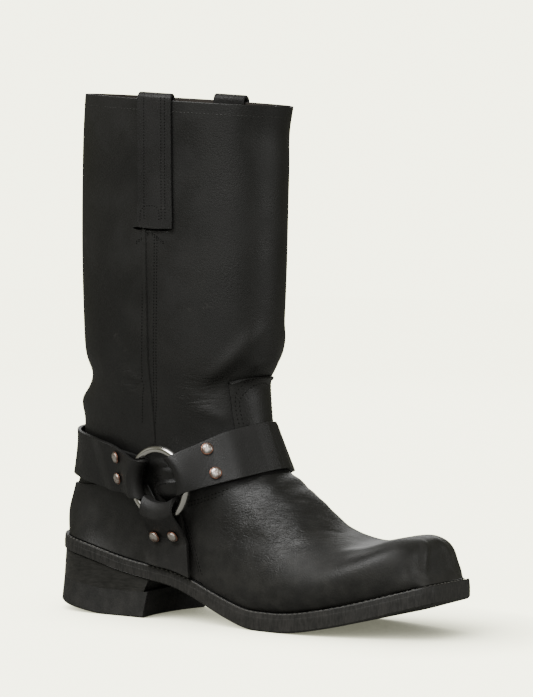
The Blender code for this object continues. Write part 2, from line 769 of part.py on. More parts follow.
class Wrap:
    """A strap's way round the dressed upper, in a plane through the two rings.

    The plane holds forward and the line across the boot. up lies across the strap.
    """

    def __init__(self, tree, forward, up, turns, steps=61):
        self.tree = tree
        self.origin = np.array((RING_X, 0.0, RING_Z))
        self.forward = np.array(forward)
        self.up = np.array(up)
        self.turns = np.linspace(math.radians(turns[0]), math.radians(turns[1]), steps)
        self.edges = np.array([self.reach(turn) for turn in self.turns])
        reach = self.edges.mean(axis=1)
        points = np.array([self.ray(t) * r for t, r in zip(self.turns, reach)])
        self.steps = np.r_[0, np.cumsum(np.linalg.norm(np.diff(points, axis=0), axis=1))]

    def ray(self, turn):
        return self.forward * math.cos(turn) + np.array((0.0, 1.0, 0.0)) * math.sin(turn)

    def reach(self, turn):
        """Distances from the axis to the strap's two edges, all clear of the upper."""
        shares = np.linspace(-1, 1, 7)
        found = []
        for share in shares:
            start = self.origin + self.up * share * STRAP_WIDTH / 2
            found.append(self.tree.ray_cast(Vector(start), Vector(self.ray(turn)))[3] or 0.0)
        found = np.array(found)
        slope = (found[-1] - found[0]) / 2
        base = (found - slope * shares).max()
        return base - slope, base + slope

    def place_of(self, turn):
        return float(np.interp(math.radians(turn), self.turns, self.steps))

    def reach_at(self, turn, share):
        low, high = (np.interp(turn, self.turns, self.edges[:, k]) for k in (0, 1))
        return (low + high) / 2 + (high - low) / 2 * share

    def stations(self, start, end, steps):
        """Places along the strap, closer together where it bends more."""
        places = np.linspace(start, end, 60)
        outward = np.array([self.outward(place) for place in places])
        bends = np.linalg.norm(np.diff(outward, axis=0), axis=1)
        cost = np.r_[0, np.cumsum(np.diff(places) / 0.030 + bends / 0.30)]
        return np.interp(np.linspace(0, cost[-1], steps + 1), cost, places)

    def point(self, place, across, lift):
        """A point at a length along the strap, across it, and out from the dressed upper."""
        turn = np.interp(place, self.steps, self.turns)
        reach = self.reach_at(turn, across / (STRAP_WIDTH / 2))
        base = self.origin + self.up * across + self.ray(turn) * reach
        return base + self.outward(place) * lift

    def outward(self, place):
        turn = np.interp(place, self.steps, self.turns)
        step = math.radians(3)
        low, high = max(turn - step, self.turns[0]), min(turn + step, self.turns[-1])
        run = self.ray(high) * self.reach_at(high, 0) - self.ray(low) * self.reach_at(low, 0)
        normal = np.cross(run, self.up)
        normal /= np.linalg.norm(normal)
        return normal if normal @ self.ray(turn) > 0 else -normal


class SideFall:
    """A strap's way straight down the side of the dressed upper, from the ring to the welt."""

    def __init__(self, tree, side):
        self.tree = tree
        self.side = side
        self.up = np.array((1.0, 0.0, 0.0))

    def place_of(self, _turn):
        return 0.0

    def reach(self, place):
        """Distances from the middle of the boot to the strap's two edges, clear of the upper."""
        shares = np.linspace(-1, 1, 5)
        found = []
        for share in shares:
            start = Vector((RING_X + share * STRAP_WIDTH / 2, 0.0, RING_Z - place))
            hit = self.tree.ray_cast(start, Vector((0.0, self.side, 0.0)))
            found.append(hit[3])
        found = np.array(found)
        slope = (found[-1] - found[0]) / 2
        base = (found - slope * shares).max()
        return base - slope, base + slope

    def point(self, place, across, lift):
        low, high = self.reach(place)
        reach = (low + high) / 2 + (high - low) / 2 * across / (STRAP_WIDTH / 2)
        base = np.array((RING_X + across, self.side * reach, RING_Z - place))
        return base + self.outward(place) * lift

    def outward(self, place):
        step = 0.004
        high, low = sum(self.reach(place - step)) / 2, sum(self.reach(place + step)) / 2
        normal = np.array((0.0, self.side * 2 * step, high - low))
        return normal / np.linalg.norm(normal)


class RingSeat:
    """Where a ring lies: its middle, and its own outward direction.

    The ring rests on the three strap ends that fold round it, each a strap's thickness deep.
    """

    def __init__(self, tree, side):
        self.tree = tree
        self.side = side
        wire = (RING_OUTER_DIAMETER - RING_WIRE) / 2
        ways = [STRAP_FRONT_RISE, 180 - STRAP_REAR_RISE, 270]
        props = [self.under(wire, way) for way in ways]
        normal = np.cross(props[1] - props[0], props[2] - props[0])
        self.normal = normal / np.linalg.norm(normal) * math.copysign(1, normal[1] * side)
        middle = np.array((RING_X, props[0][1], RING_Z))
        middle[1] += (props[0] - middle) @ self.normal / self.normal[1]
        rises = [0.0]
        for way in ways:
            for reach in (0.6 * wire, 0.8 * wire, wire, 1.2 * wire):
                for turn in (-30, 0, 30):
                    rises.append((self.under(reach, way + turn) - middle) @ self.normal)
        standoff = RING_WIRE / 2 + FOLD_ROOM + STRAP_THICKNESS + CLEARANCE
        self.centre = middle + self.normal * (max(rises) + standoff)

    def under(self, reach, way):
        """The point of the dressed upper at this reach from the ring's middle."""
        turn = math.radians(way)
        start = (RING_X + reach * math.cos(turn), 0.0, RING_Z + reach * math.sin(turn))
        return np.array(self.tree.ray_cast(Vector(start), Vector((0.0, self.side, 0.0)))[0])

    def flat(self, direction):
        """The part of a direction that lies in the ring's own plane, as a unit vector."""
        flat = direction - self.normal * (direction @ self.normal)
        return flat / np.linalg.norm(flat)


def strap_end(wrap, seat, ring_turn, away, slack=0.0):
    """Rows of one strap end, from the tip of its tail round the ring's wire and out again.

    away is the sign of the length along the wrap that leads off from the ring. slack is how far
    the fold stands off the wire.
    """
    wire = (RING_OUTER_DIAMETER - RING_WIRE) / 2
    fold = RING_WIRE / 2 + FOLD_ROOM + STRAP_THICKNESS / 2
    ring_place = wrap.place_of(ring_turn)
    run = wrap.point(ring_place + away * 0.004, 0, 0) - wrap.point(ring_place, 0, 0)
    run = seat.flat(run)
    side_way = seat.flat(wrap.up)
    side_way -= run * (side_way @ run)
    low = STRAP_THICKNESS / 2
    high = low + STRAP_THICKNESS + CLEARANCE
    tail = wire + STRAP_TAIL
    stations = [(s, -fold, low) for s in spread(tail, wire + 0.004, 3)]
    stations += [
        (wire - (fold + slack) * math.sin(turn), -fold * math.cos(turn), None)
        for turn in spread(0.0, math.pi, 5)
    ]
    stations += [(s, fold, high) for s in spread(wire + 0.004, tail + 0.002, OUT_STEPS - 3)]
    stations += [(s, fold, low) for s in spread(tail + 0.012, tail + 0.020, 1)]
    rows = []
    for s, plane_lift, face_lift in stations:
        blend = smooth_step((s - wire) / STRAP_BLEND) if face_lift is not None else 0.0
        widen = smooth_step((s - wire) / STRAP_TAIL) if face_lift != low or s > tail else 0.0
        width = STRAP_FOLD_WIDTH + (STRAP_WIDTH - STRAP_FOLD_WIDTH) * widen
        row = []
        for share in STRAP_SHARES:
            across = share * width
            curl = math.sqrt(wire**2 - across**2) - wire
            place = s + curl
            flat = seat.centre + run * place + side_way * across + seat.normal * plane_lift
            if blend > 0:
                laid = wrap.point(ring_place + away * s, across, face_lift)
                flat = flat * (1 - blend) + laid * blend
            row.append(flat)
        rows.append(row)
    return rows


def make_strap(name, wrap, seats, ring_turn, leather):
    """A strap from the outer ring to the inner ring, both ends folded round the wire."""
    start = strap_end(wrap, seats[OUTER], -ring_turn, 1)
    end = strap_end(wrap, seats[INNER], ring_turn, -1)
    clear = (RING_OUTER_DIAMETER - RING_WIRE) / 2 + STRAP_TAIL + 0.020
    first = wrap.place_of(-ring_turn) + clear
    last = wrap.place_of(ring_turn) - clear
    places = wrap.stations(first, last, 10)
    middle = []
    for before, place, after in zip(places, places[1:], places[2:]):
        bend = wrap.point(before, 0, 0) + wrap.point(after, 0, 0) - 2 * wrap.point(place, 0, 0)
        lift = STRAP_THICKNESS / 2 + np.linalg.norm(bend) / 8
        middle.append([wrap.point(place, share * STRAP_WIDTH, lift) for share in STRAP_SHARES])
    return ribbon(name, start + middle + end[::-1], STRAP_THICKNESS, leather)


def make_lower_strap(name, wrap, seat, leather):
    """A strap from a ring down to the welt."""
    rows = strap_end(wrap, seat, 0.0, 1, LOWER_STRAP_SLACK)[:-OUT_STEPS]
    lift = STRAP_THICKNESS * 1.5 + CLEARANCE
    start = (RING_OUTER_DIAMETER - RING_WIRE) / 2 + STRAP_BLEND
    for step in spread(0.0, 1.0, 5):
        row = []
        for share in STRAP_SHARES:
            across = share * (STRAP_WIDTH + (LOWER_STRAP_FOOT_WIDTH - STRAP_WIDTH) * step)
            end = RING_Z - upper_foot(RING_X + across) - 4 * CLEARANCE
            row.append(wrap.point(start + (end - start) * step, across, lift))
        rows.append(row)
    return ribbon(name, rows, STRAP_THICKNESS, leather)


def make_ring(name, seat, metal):
    """A welded wire ring."""
    bm = bmesh.new()
    mid = (RING_OUTER_DIAMETER - RING_WIRE) / 2
    first = seat.flat(np.array((1.0, 0.0, 0.0)))
    second = np.cross(seat.normal, first)
    loops = []
    for i in range(20):
        turn = 2 * math.pi * i / 20
        spoke = first * math.cos(turn) + second * math.sin(turn)
        loop = []
        for j in range(8):
            roll = 2 * math.pi * j / 8
            arm = spoke * math.cos(roll) + seat.normal * math.sin(roll)
            loop.append(bm.verts.new(seat.centre + spoke * mid + arm * RING_WIRE / 2))
        loops.append(loop)
    join_loops(bm, loops + [loops[0]], capped=False)
    return make_object(name, bm, metal)


def make_rivet(name, base, normal, metal):
    """A domed rivet head on a strap."""
    bm = bmesh.new()
    first = np.cross(normal, (0.0, 0.0, 1.0))
    first /= np.linalg.norm(first)
    second = np.cross(normal, first)
    radius = RIVET_DIAMETER / 2
    profile = ((1.0, 0.0), (0.95, 0.45), (0.50, 0.95))
    loops = []
    for out, up in profile:
        loop = []
        for j in range(8):
            turn = 2 * math.pi * j / 8
            spoke = first * math.cos(turn) + second * math.sin(turn)
            loop.append(bm.verts.new(base + spoke * radius * out + normal * RIVET_DOME * up))
        loops.append(loop)
    join_loops(bm, loops)
    return make_object(name, bm, metal)


def make_rivets(strap, word, wrap, ring_turn, away, band, metal):
    """The two rivets through a folded strap end, seated on the strap called band."""
    mesh = band.data
    corners = [tuple(v.co) for v in mesh.vertices]
    tree = BVHTree.FromPolygons(corners, [tuple(face.vertices) for face in mesh.polygons])
    for name, number, out, across in RIVET_ROWS:
        if name == strap:
            place = wrap.place_of(ring_turn) + away * out * RING_OUTER_DIAMETER
            outward = wrap.outward(place)
            start = wrap.point(place, across * STRAP_WIDTH, 0.0) + outward * 0.03
            first = np.cross(outward, wrap.up)
            seats = []
            for turn in spread(0.0, 2 * math.pi, 8)[:-1]:
                spoke = first * math.cos(turn) + wrap.up * math.sin(turn)
                rim = start + spoke * RIVET_DIAMETER / 2
                seats.append(np.array(tree.ray_cast(Vector(rim), Vector(-outward))[0]))
            normal = np.cross(seats[2] - seats[6], seats[0] - seats[4])
            normal *= math.copysign(1, normal @ outward) / np.linalg.norm(normal)
            middle = np.mean(seats, axis=0)
            rise = max((seat - middle) @ normal for seat in seats)
            rise = max(rise, (np.array(tree.ray_cast(Vector(start), Vector(-outward))[0]) - middle) @ normal)
            make_rivet(f"rivet_{strap}_{word}_{number}", middle + normal * (rise + 1.5 * CLEARANCE), normal, metal)


def dressed_tree(form):
    """The upper with its overlays and their clearance, as a surface to lay straps on."""
    rings = spread(4, LAST_RING, (LAST_RING - 4) * 2)
    angles = ring_angles()
    lift = 2 * CLEARANCE + OVERLAY
    points, faces = [], []
    for ring in rings:
        for angle in angles:
            turn = angle
            if ring > FIRST_FOOT_RING and abs(angle) > KNEE_ANGLE:
                turn = math.copysign(KNEE_ANGLE, angle)
            points.append(form.point(ring, turn, lift))
    count = len(angles)
    for i in range(len(rings) - 1):
        for j in range(count):
            k = (j + 1) % count
            faces.append((i * count + j, i * count + k, (i + 1) * count + k, (i + 1) * count + j))
    for side in (OUTER, INNER):
        edge = inset_edge(side, WELT_LEDGE - lift)
        for (x0, y0), (x1, y1) in zip(edge, edge[1:]):
            start = len(points)
            points += [(x0, y0, upper_foot(x0)), (x1, y1, upper_foot(x1))]
            points += [(x1, y1, upper_foot(x1) - SEAT_HEIGHT), (x0, y0, upper_foot(x0) - SEAT_HEIGHT)]
            faces.append((start, start + 1, start + 2, start + 3))
    return BVHTree.FromPolygons([tuple(p) for p in points], faces)


def build_sole(rubber, leather, lift_rubber):
    slab("outsole", rubber, underside, outsole_top, ((0.0012, 0.0), (0.0, 0.14), (0.0, 0.9), (0.0005, 1.0)))
    slab("welt", leather, welt_bottom, welt_top, ((0.0004, 0.0), (0.0004, 0.75), (0.0010, 1.0)))
    slab(
        "heel_stack",
        leather,
        lambda x: lift_top(x) + CLEARANCE,
        lambda x: underside(x) - CLEARANCE,
        ((0.0000, 0.0), (0.0012, 1.0)),
        breast=BREAST_X,
    )
    slab(
        "heel_top_lift",
        lift_rubber,
        tread,
        lift_top,
        ((0.0008 - LIFT_FLARE, 0.0), (-LIFT_FLARE, 0.06), (0.0, 1.0)),
        breast=BREAST_X,
    )
    inset = WELT_LEDGE + LEATHER + 4 * CLEARANCE
    slab(
        "insole",
        leather,
        upper_foot,
        lambda x: upper_foot(x) + INSOLE_THICKNESS,
        ((inset, 0.0), (inset + 0.0014, 1.0)),
    )


def main():
    clear_scene()
    leather = finish_material("black_oiled_leather", (0.018, 0.018, 0.018), 0.55, 0.0)
    strap_leather = finish_material("black_harness_leather", (0.020, 0.020, 0.020), 0.50, 0.0)
    insole_leather = finish_material("tan_insole_leather", (0.30, 0.20, 0.12), 0.70, 0.0)
    rubber = finish_material("black_sole_rubber", (0.025, 0.025, 0.025), 0.60, 0.0)
    lift_rubber = finish_material("black_lift_rubber", (0.022, 0.022, 0.022), 0.65, 0.0)
    nickel = finish_material("nickel", (0.62, 0.60, 0.58), 0.25, 1.0)

    build_sole(rubber, leather, lift_rubber)
    form = Upper()
    make_upper(form, leather)
    make_vamp(form, leather)
    make_counter(form, leather)
    tree = dressed_tree(form)
    seats = {side: RingSeat(tree, side) for side in (OUTER, INNER)}
    rise, fall = math.radians(STRAP_FRONT_RISE), math.radians(STRAP_REAR_RISE)
    front = Wrap(tree, (math.cos(rise), 0, math.sin(rise)), (-math.sin(rise), 0, math.cos(rise)), (-100, 100))
    rear = Wrap(tree, (-math.cos(fall), 0, math.sin(fall)), (math.sin(fall), 0, math.cos(fall)), (-100, 100))
    front_band = make_strap("strap_front", front, seats, 90, strap_leather)
    rear_band = make_strap("strap_rear", rear, seats, 90, strap_leather)
    for side, word in ((OUTER, "outer"), (INNER, "inner")):
        make_piping(f"side_seam_{word}", form, side, leather)
        make_pull_strap(f"pull_strap_{word}", form, side, leather)
        make_ring(f"ring_{word}", seats[side], nickel)
        make_rivets("front", word, front, 90 * side, -side, front_band, nickel)
        make_rivets("rear", word, rear, 90 * side, -side, rear_band, nickel)
        down = SideFall(tree, side)
        lower_band = make_lower_strap(f"strap_lower_{word}", down, seats[side], strap_leather)
        make_rivets("lower", word, down, 0.0, 1, lower_band, nickel)


if __name__ == "__main__":
    main()
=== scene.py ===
"""Right harness boot in black oiled leather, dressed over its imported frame.

Metres, +Z up, toe towards +X, outer side of the foot towards -Y. Places along the leather are
written in millimetres.
"""

import json
import logging
import math
from collections.abc import Callable, Iterator
from contextlib import contextmanager
from dataclasses import dataclass, field
from enum import Enum

import bmesh
import bpy
import numpy as np
from mathutils import Matrix, Vector
from mathutils.bvhtree import BVHTree

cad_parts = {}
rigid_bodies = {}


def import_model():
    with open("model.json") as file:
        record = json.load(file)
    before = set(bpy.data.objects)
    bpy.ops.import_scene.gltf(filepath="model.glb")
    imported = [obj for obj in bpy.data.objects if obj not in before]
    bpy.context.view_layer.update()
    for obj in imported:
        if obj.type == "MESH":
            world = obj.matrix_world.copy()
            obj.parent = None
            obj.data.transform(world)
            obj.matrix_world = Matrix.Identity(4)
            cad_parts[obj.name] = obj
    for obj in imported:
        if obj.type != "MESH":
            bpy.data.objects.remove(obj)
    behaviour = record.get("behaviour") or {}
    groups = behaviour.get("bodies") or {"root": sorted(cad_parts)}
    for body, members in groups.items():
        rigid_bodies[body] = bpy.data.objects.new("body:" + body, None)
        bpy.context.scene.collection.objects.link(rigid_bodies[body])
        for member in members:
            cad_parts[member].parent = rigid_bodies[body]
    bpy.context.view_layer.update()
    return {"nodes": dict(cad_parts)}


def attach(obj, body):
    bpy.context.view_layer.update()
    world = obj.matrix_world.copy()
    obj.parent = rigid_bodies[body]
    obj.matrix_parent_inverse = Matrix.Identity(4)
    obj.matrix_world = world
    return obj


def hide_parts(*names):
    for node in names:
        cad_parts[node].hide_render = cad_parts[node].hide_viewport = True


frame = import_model()

log = logging.getLogger("harness_boot")

Place = tuple[float, float, float]
Colour = tuple[float, float, float]
Line = tuple[Place, ...]
Value = bpy.types.NodeSocket | float | tuple[float, ...]
Keep = Callable[[Vector], bool] | None

# The middle of the boot from the collar down to the toe, which tells outside from inside.
BOOT_CORE: Line = ((32, 0, 360), (32, 0, 130), (52, 0, 75), (110, 0, 48), (205, 0, 36))

# Long folds, in millimetres: behind the ankle, round the toe over the welt, and over the instep.
HEEL_SLACK: Line = ((-12, -35, 158), (-28, -28, 160), (-42, -8, 160), (-42, 8, 160), (-28, 28, 160))
TOE_WALL: Line = ((205, -39, 42), (229, -22, 43), (233, -8, 43), (233, 10, 43), (230, 26, 43), (205, 44, 42))
INSTEP: Line = ((109, -30, 84), (115, -22, 88), (118, -10, 92), (119, 0, 94), (118, 10, 92), (115, 22, 88))

# How a cage is swelled before it is smoothed: the rounds, the longest step in metres and its share.
SWELL_ROUNDS = 2
SWELL_LIMIT = 0.0012
SWELL_SHARE = 0.8


class Side(Enum):
    """The two sides of the boot, by the sign of their Y."""

    OUTER = -1
    INNER = 1

    @property
    def word(self) -> str:
        """The side's name as the frame's nodes spell it."""
        return self.name.lower()


# Working on meshes


def select_only(*objects: bpy.types.Object) -> None:
    """Selects these objects and nothing else, and makes the last one active."""
    bpy.ops.object.select_all(action="DESELECT")
    for obj in objects:
        obj.select_set(True)
        bpy.context.view_layer.objects.active = obj


@contextmanager
def editing(obj: bpy.types.Object, mode: str = "FACE") -> Iterator[bpy.types.Object]:
    """Edit mode on one object with nothing selected, and object mode again afterwards.

    Args:
        obj: The object to edit.
        mode: The kind of element to select, VERT, EDGE or FACE.
    """
    select_only(obj)
    bpy.ops.object.mode_set(mode="EDIT")
    bpy.ops.mesh.select_mode(type=mode)
    bpy.ops.mesh.select_all(action="DESELECT")
    yield obj
    bpy.ops.object.mode_set(mode="OBJECT")


def pick_faces(obj: bpy.types.Object, wanted: Callable[[bmesh.types.BMFace], bool]) -> int:
    """Selects the faces that a test accepts, in edit mode.

    Args:
        obj: The object in edit mode.
        wanted: A test of a face.

    Returns:
        The number of faces selected.
    """
    bm = bmesh.from_edit_mesh(obj.data)
    count = 0
    for face in bm.faces:
        face.select_set(bool(wanted(face)))
        count += face.select
    bm.select_flush_mode()
    bmesh.update_edit_mesh(obj.data)
    return count


def finish_modifier(obj: bpy.types.Object, kind: str, **settings) -> None:
    """Adds a modifier, sets it and applies it."""
    select_only(obj)
    modifier = obj.modifiers.new(kind.lower(), kind)
    for name, value in settings.items():
        setattr(modifier, name, value)
    bpy.ops.object.modifier_apply(modifier=modifier.name)


def ease_edges(obj: bpy.types.Object, width: float, angle: float) -> None:
    """Bevels the edges that are sharper than an angle in degrees."""
    limit = math.radians(angle)
    finish_modifier(obj, "BEVEL", width=width, segments=2, limit_method="ANGLE", angle_limit=limit)


def vertex_places(obj: bpy.types.Object) -> np.ndarray:
    """The object's vertices as rows of x, y, z."""
    places = np.empty(len(obj.data.vertices) * 3)
    obj.data.vertices.foreach_get("co", places)
    return places.reshape(-1, 3)


def set_places(obj: bpy.types.Object, places: np.ndarray) -> None:
    """Moves the object's vertices to rows of x, y, z."""
    obj.data.vertices.foreach_set("co", places.reshape(-1))
    obj.data.update()


def cage_from(node: str, name: str, rim: float, sharp: float = 50.0) -> bpy.types.Object:
    """A copy of a CAD node with its triangles joined to quads and its cut edges creased.

    Args:
        node: The CAD node's name.
        name: The new piece's name.
        rim: How tightly the sharp edges stay, from 0, round, to 1, knife sharp.
        sharp: The angle in degrees from which an edge counts as sharp.

    Returns:
        The new object, whose cut edges are marked sharp.
    """
    piece = frame["nodes"][node].copy()
    piece.data = piece.data.copy()
    piece.name = name
    piece.data.name = name
    for key in list(piece.keys()):
        del piece[key]
    piece.parent = None
    bpy.context.scene.collection.objects.link(piece)
    piece.data.materials.clear()
    with editing(piece):
        bpy.ops.mesh.select_all(action="SELECT")
        bpy.ops.mesh.customdata_custom_splitnormals_clear()
        bpy.ops.mesh.remove_doubles(threshold=0.00002)
        bpy.ops.mesh.tris_convert_to_quads(face_threshold=math.radians(50), shape_threshold=math.radians(70))
        bpy.ops.mesh.mark_sharp(clear=True)
        bpy.ops.mesh.select_all(action="DESELECT")
        bpy.ops.mesh.select_mode(type="EDGE")
        bpy.ops.mesh.edges_select_sharp(sharpness=math.radians(sharp))
        bpy.ops.mesh.mark_sharp()
        bpy.ops.transform.edge_crease(value=rim)
    return piece


def smooth_through(piece: bpy.types.Object, levels: int) -> None:
    """Subdivides a cage so that the smooth surface still passes through the cage's own corners.

    Args:
        piece: The cage.
        levels: The levels of the subdivision surface.
    """
    target = vertex_places(piece)
    count = len(target)
    for _ in range(SWELL_ROUNDS):
        modifier = piece.modifiers.new("trial", "SUBSURF")
        modifier.levels = 2
        graph = bpy.context.evaluated_depsgraph_get()
        trial = piece.evaluated_get(graph).to_mesh()
        landed = np.empty(len(trial.vertices) * 3)
        trial.vertices.foreach_get("co", landed)
        landed = landed.reshape(-1, 3)[:count]
        piece.modifiers.remove(modifier)
        short = target - landed
        length = np.linalg.norm(short, axis=1)
        short *= (np.minimum(length, SWELL_LIMIT) / np.maximum(length, 1e-9))[:, None]
        set_places(piece, vertex_places(piece) + short * SWELL_SHARE)
    finish_modifier(piece, "SUBSURF", levels=levels, render_levels=levels)


def shade(piece: bpy.types.Object, angle: float = 60.0) -> None:
    """Smooth shading up to an angle in degrees."""
    select_only(piece)
    bpy.ops.object.shade_smooth_by_angle(angle=math.radians(angle))


def surface_of(*pieces: bpy.types.Object) -> BVHTree:
    """One search tree over the surfaces of these pieces."""
    corners: list[Place] = []
    faces: list[tuple[int, ...]] = []
    for piece in pieces:
        start = len(corners)
        corners += [tuple(v.co) for v in piece.data.vertices]
        faces += [tuple(start + i for i in p.vertices) for p in piece.data.polygons]
    return BVHTree.FromPolygons(corners, faces)


def cut_edges(piece: bpy.types.Object) -> list[np.ndarray]:
    """The closed lines of sharp edges on a piece, the longest first, in metres."""
    near: dict[int, list[int]] = {}
    sharp = piece.data.attributes.get("sharp_edge")
    for edge in piece.data.edges:
        if sharp.data[edge.index].value:
            a, b = edge.vertices
            near.setdefault(a, []).append(b)
            near.setdefault(b, []).append(a)
    places = vertex_places(piece)
    loops = []
    left = set(near)
    while left:
        start = min(left)
        walk = [start]
        left.discard(start)
        while True:
            ahead = [v for v in near[walk[-1]] if v in left]
            if not ahead:
                break
            walk.append(ahead[0])
            left.discard(ahead[0])
        if len(walk) > 8:
            loops.append(places[walk + [start]])
    loops.sort(key=lambda loop: -np.linalg.norm(np.diff(loop, axis=0), axis=1).sum())
    return loops


def smooth_line(line: Line, step: float) -> np.ndarray:
    """A curve through the points of a line, at even steps.

    Args:
        line: The points.
        step: The distance between two points of the result, in the line's own unit.

    Returns:
        The points of the curve, in rows.
    """
    points = np.array(line, float)
    if len(points) > 2:
        ends = np.vstack([2 * points[0] - points[1], points, 2 * points[-1] - points[-2]])
        rows = []
        for a, b, c, d in zip(ends, ends[1:], ends[2:], ends[3:]):
            for t in np.linspace(0, 1, 13)[:-1]:
                bend = 2 * b + (c - a) * t + (2 * a - 5 * b + 4 * c - d) * t * t
                rows.append((bend + (3 * b - a - 3 * c + d) * t**3) / 2)
        points = np.vstack([rows, points[-1]])
    return even_steps(points, step)


def even_steps(points: np.ndarray, step: float) -> np.ndarray:
    """The points of a line at even steps along it."""
    run = np.r_[0, np.cumsum(np.linalg.norm(np.diff(points, axis=0), axis=1))]
    count = max(int(round(run[-1] / step)), 1)
    stops = np.linspace(0, run[-1], count + 1)
    return np.stack([np.interp(stops, run, points[:, k]) for k in range(3)], axis=1)


# Folds in the leather


@dataclass(frozen=True)
class Fold:
    """A soft ridge or trough of the leather, in millimetres.

    line runs along it, reach is its half-width and rise its height, below zero for a trough.
    """

    line: Line
    reach: float
    rise: float

    def mirrored(self, share: float) -> "Fold":
        """The same fold on the other side of the boot, with a share of its height."""
        return Fold(tuple((x, -y, z) for x, y, z in self.line), self.reach, self.rise * share)


def press_folds(piece: bpy.types.Object, folds: list[Fold]) -> None:
    """Moves a piece's vertices out of and into its surface along the folds.

    Args:
        piece: A leather piece. Both of its faces move the same way.
        folds: The folds to press.
    """
    places = vertex_places(piece) * 1000
    normals = np.empty(len(places) * 3)
    piece.data.vertex_normals.foreach_get("vector", normals)
    normals = normals.reshape(-1, 3)
    core = np.array(BOOT_CORE, float)
    middle = nearest_on(core, places)[0]
    outward = np.sign(((places - middle) * normals).sum(axis=1))
    move = np.zeros(len(places))
    for fold in folds:
        line = smooth_line(fold.line, 4.0)
        _, gap, share = nearest_on(line, places)
        ends = np.clip(np.minimum(share, 1 - share) * 3.5, 0, 1)
        ends = ends * ends * (3 - 2 * ends)
        move += fold.rise * ends * np.exp(-((gap / fold.reach) ** 2))
    set_places(piece, (places + normals * (outward * move)[:, None]) / 1000)


def nearest_on(line: np.ndarray, places: np.ndarray) -> tuple[np.ndarray, np.ndarray, np.ndarray]:
    """The nearest points of a line to many places.

    Args:
        line: The points of the line, in rows.
        places: The places, in rows.

    Returns:
        The nearest points, their distances, and how far along the line they lie, from 0 to 1.
    """
    best = np.full(len(places), np.inf)
    found = np.zeros_like(places)
    share = np.zeros(len(places))
    for i, (a, b) in enumerate(zip(line, line[1:])):
        run = b - a
        t = np.clip((places - a) @ run / max(run @ run, 1e-12), 0, 1)
        point = a + t[:, None] * run
        gap = np.linalg.norm(places - point, axis=1)
        closer = gap < best
        best[closer] = gap[closer]
        found[closer] = point[closer]
        share[closer] = (i + t[closer]) / (len(line) - 1)
    return found, best, share


# Finishes


@dataclass
class Nodes:
    """A short way to add and join the nodes of one tree."""

    tree: bpy.types.NodeTree

    def add(self, kind: str, **settings) -> bpy.types.Node:
        """A node of a kind. Settings in capitals set its inputs, and the others its properties."""
        node = self.tree.nodes.new("ShaderNode" + kind)
        for name, value in settings.items():
            if name[0].isupper():
                self.feed(node, name.replace("_", " "), value)
            else:
                setattr(node, name, value)
        return node

    def feed(self, node: bpy.types.Node, socket: str, value: Value) -> None:
        """Sets an input of a node to a number or colour, or joins it to another node's output."""
        if isinstance(value, bpy.types.NodeSocket):
            self.tree.links.new(value, node.inputs[socket])
        else:
            node.inputs[socket].default_value = value

    def sum(
        self, kind: str, first: Value, second: Value | None = None, third: Value | None = None
    ) -> bpy.types.NodeSocket:
        """A Math node's output."""
        node = self.tree.nodes.new("ShaderNodeMath")
        node.operation = kind
        for i, value in enumerate((first, second, third)):
            if value is None:
                continue
            if isinstance(value, bpy.types.NodeSocket):
                self.tree.links.new(value, node.inputs[i])
            else:
                node.inputs[i].default_value = value
        return node.outputs[0]

    def ranged(self, value: Value, low: float, high: float, start: float, end: float) -> bpy.types.NodeSocket:
        """A value mapped smoothly from one range to another, and held at its ends."""
        node = self.add("MapRange", interpolation_type="SMOOTHSTEP", Value=value)
        for name, number in zip(("From Min", "From Max", "To Min", "To Max"), (low, high, start, end)):
            self.feed(node, name, number)
        return node.outputs["Result"]

    def tint(self, share: bpy.types.NodeSocket, dark: Value, light: Value) -> bpy.types.NodeSocket:
        """A colour between two, by a share."""
        node = self.add("Mix", data_type="RGBA")
        self.tree.links.new(share, node.inputs[0])
        for i, value in ((6, dark), (7, light)):
            if isinstance(value, bpy.types.NodeSocket):
                self.tree.links.new(value, node.inputs[i])
            else:
                node.inputs[i].default_value = (*value, 1.0)
        return node.outputs[2]


def new_group(
    name: str, takes: dict[str, tuple[str, float]], gives: dict[str, str]
) -> tuple["Nodes", bpy.types.Node, bpy.types.Node]:
    """An empty node group with named sockets.

    Args:
        name: The group's name.
        takes: Its inputs, each with its kind and first value.
        gives: Its outputs, each with its kind.

    Returns:
        The group's Nodes, its input node and its output node.
    """
    tree = bpy.data.node_groups.new(name, "ShaderNodeTree")
    for word, (kind, first) in takes.items():
        socket = tree.interface.new_socket(word, in_out="INPUT", socket_type="NodeSocket" + kind)
        if kind == "Float":
            socket.default_value = first
    for word, kind in gives.items():
        tree.interface.new_socket(word, in_out="OUTPUT", socket_type="NodeSocket" + kind)
    nodes = Nodes(tree)
    return nodes, tree.nodes.new("NodeGroupInput"), tree.nodes.new("NodeGroupOutput")


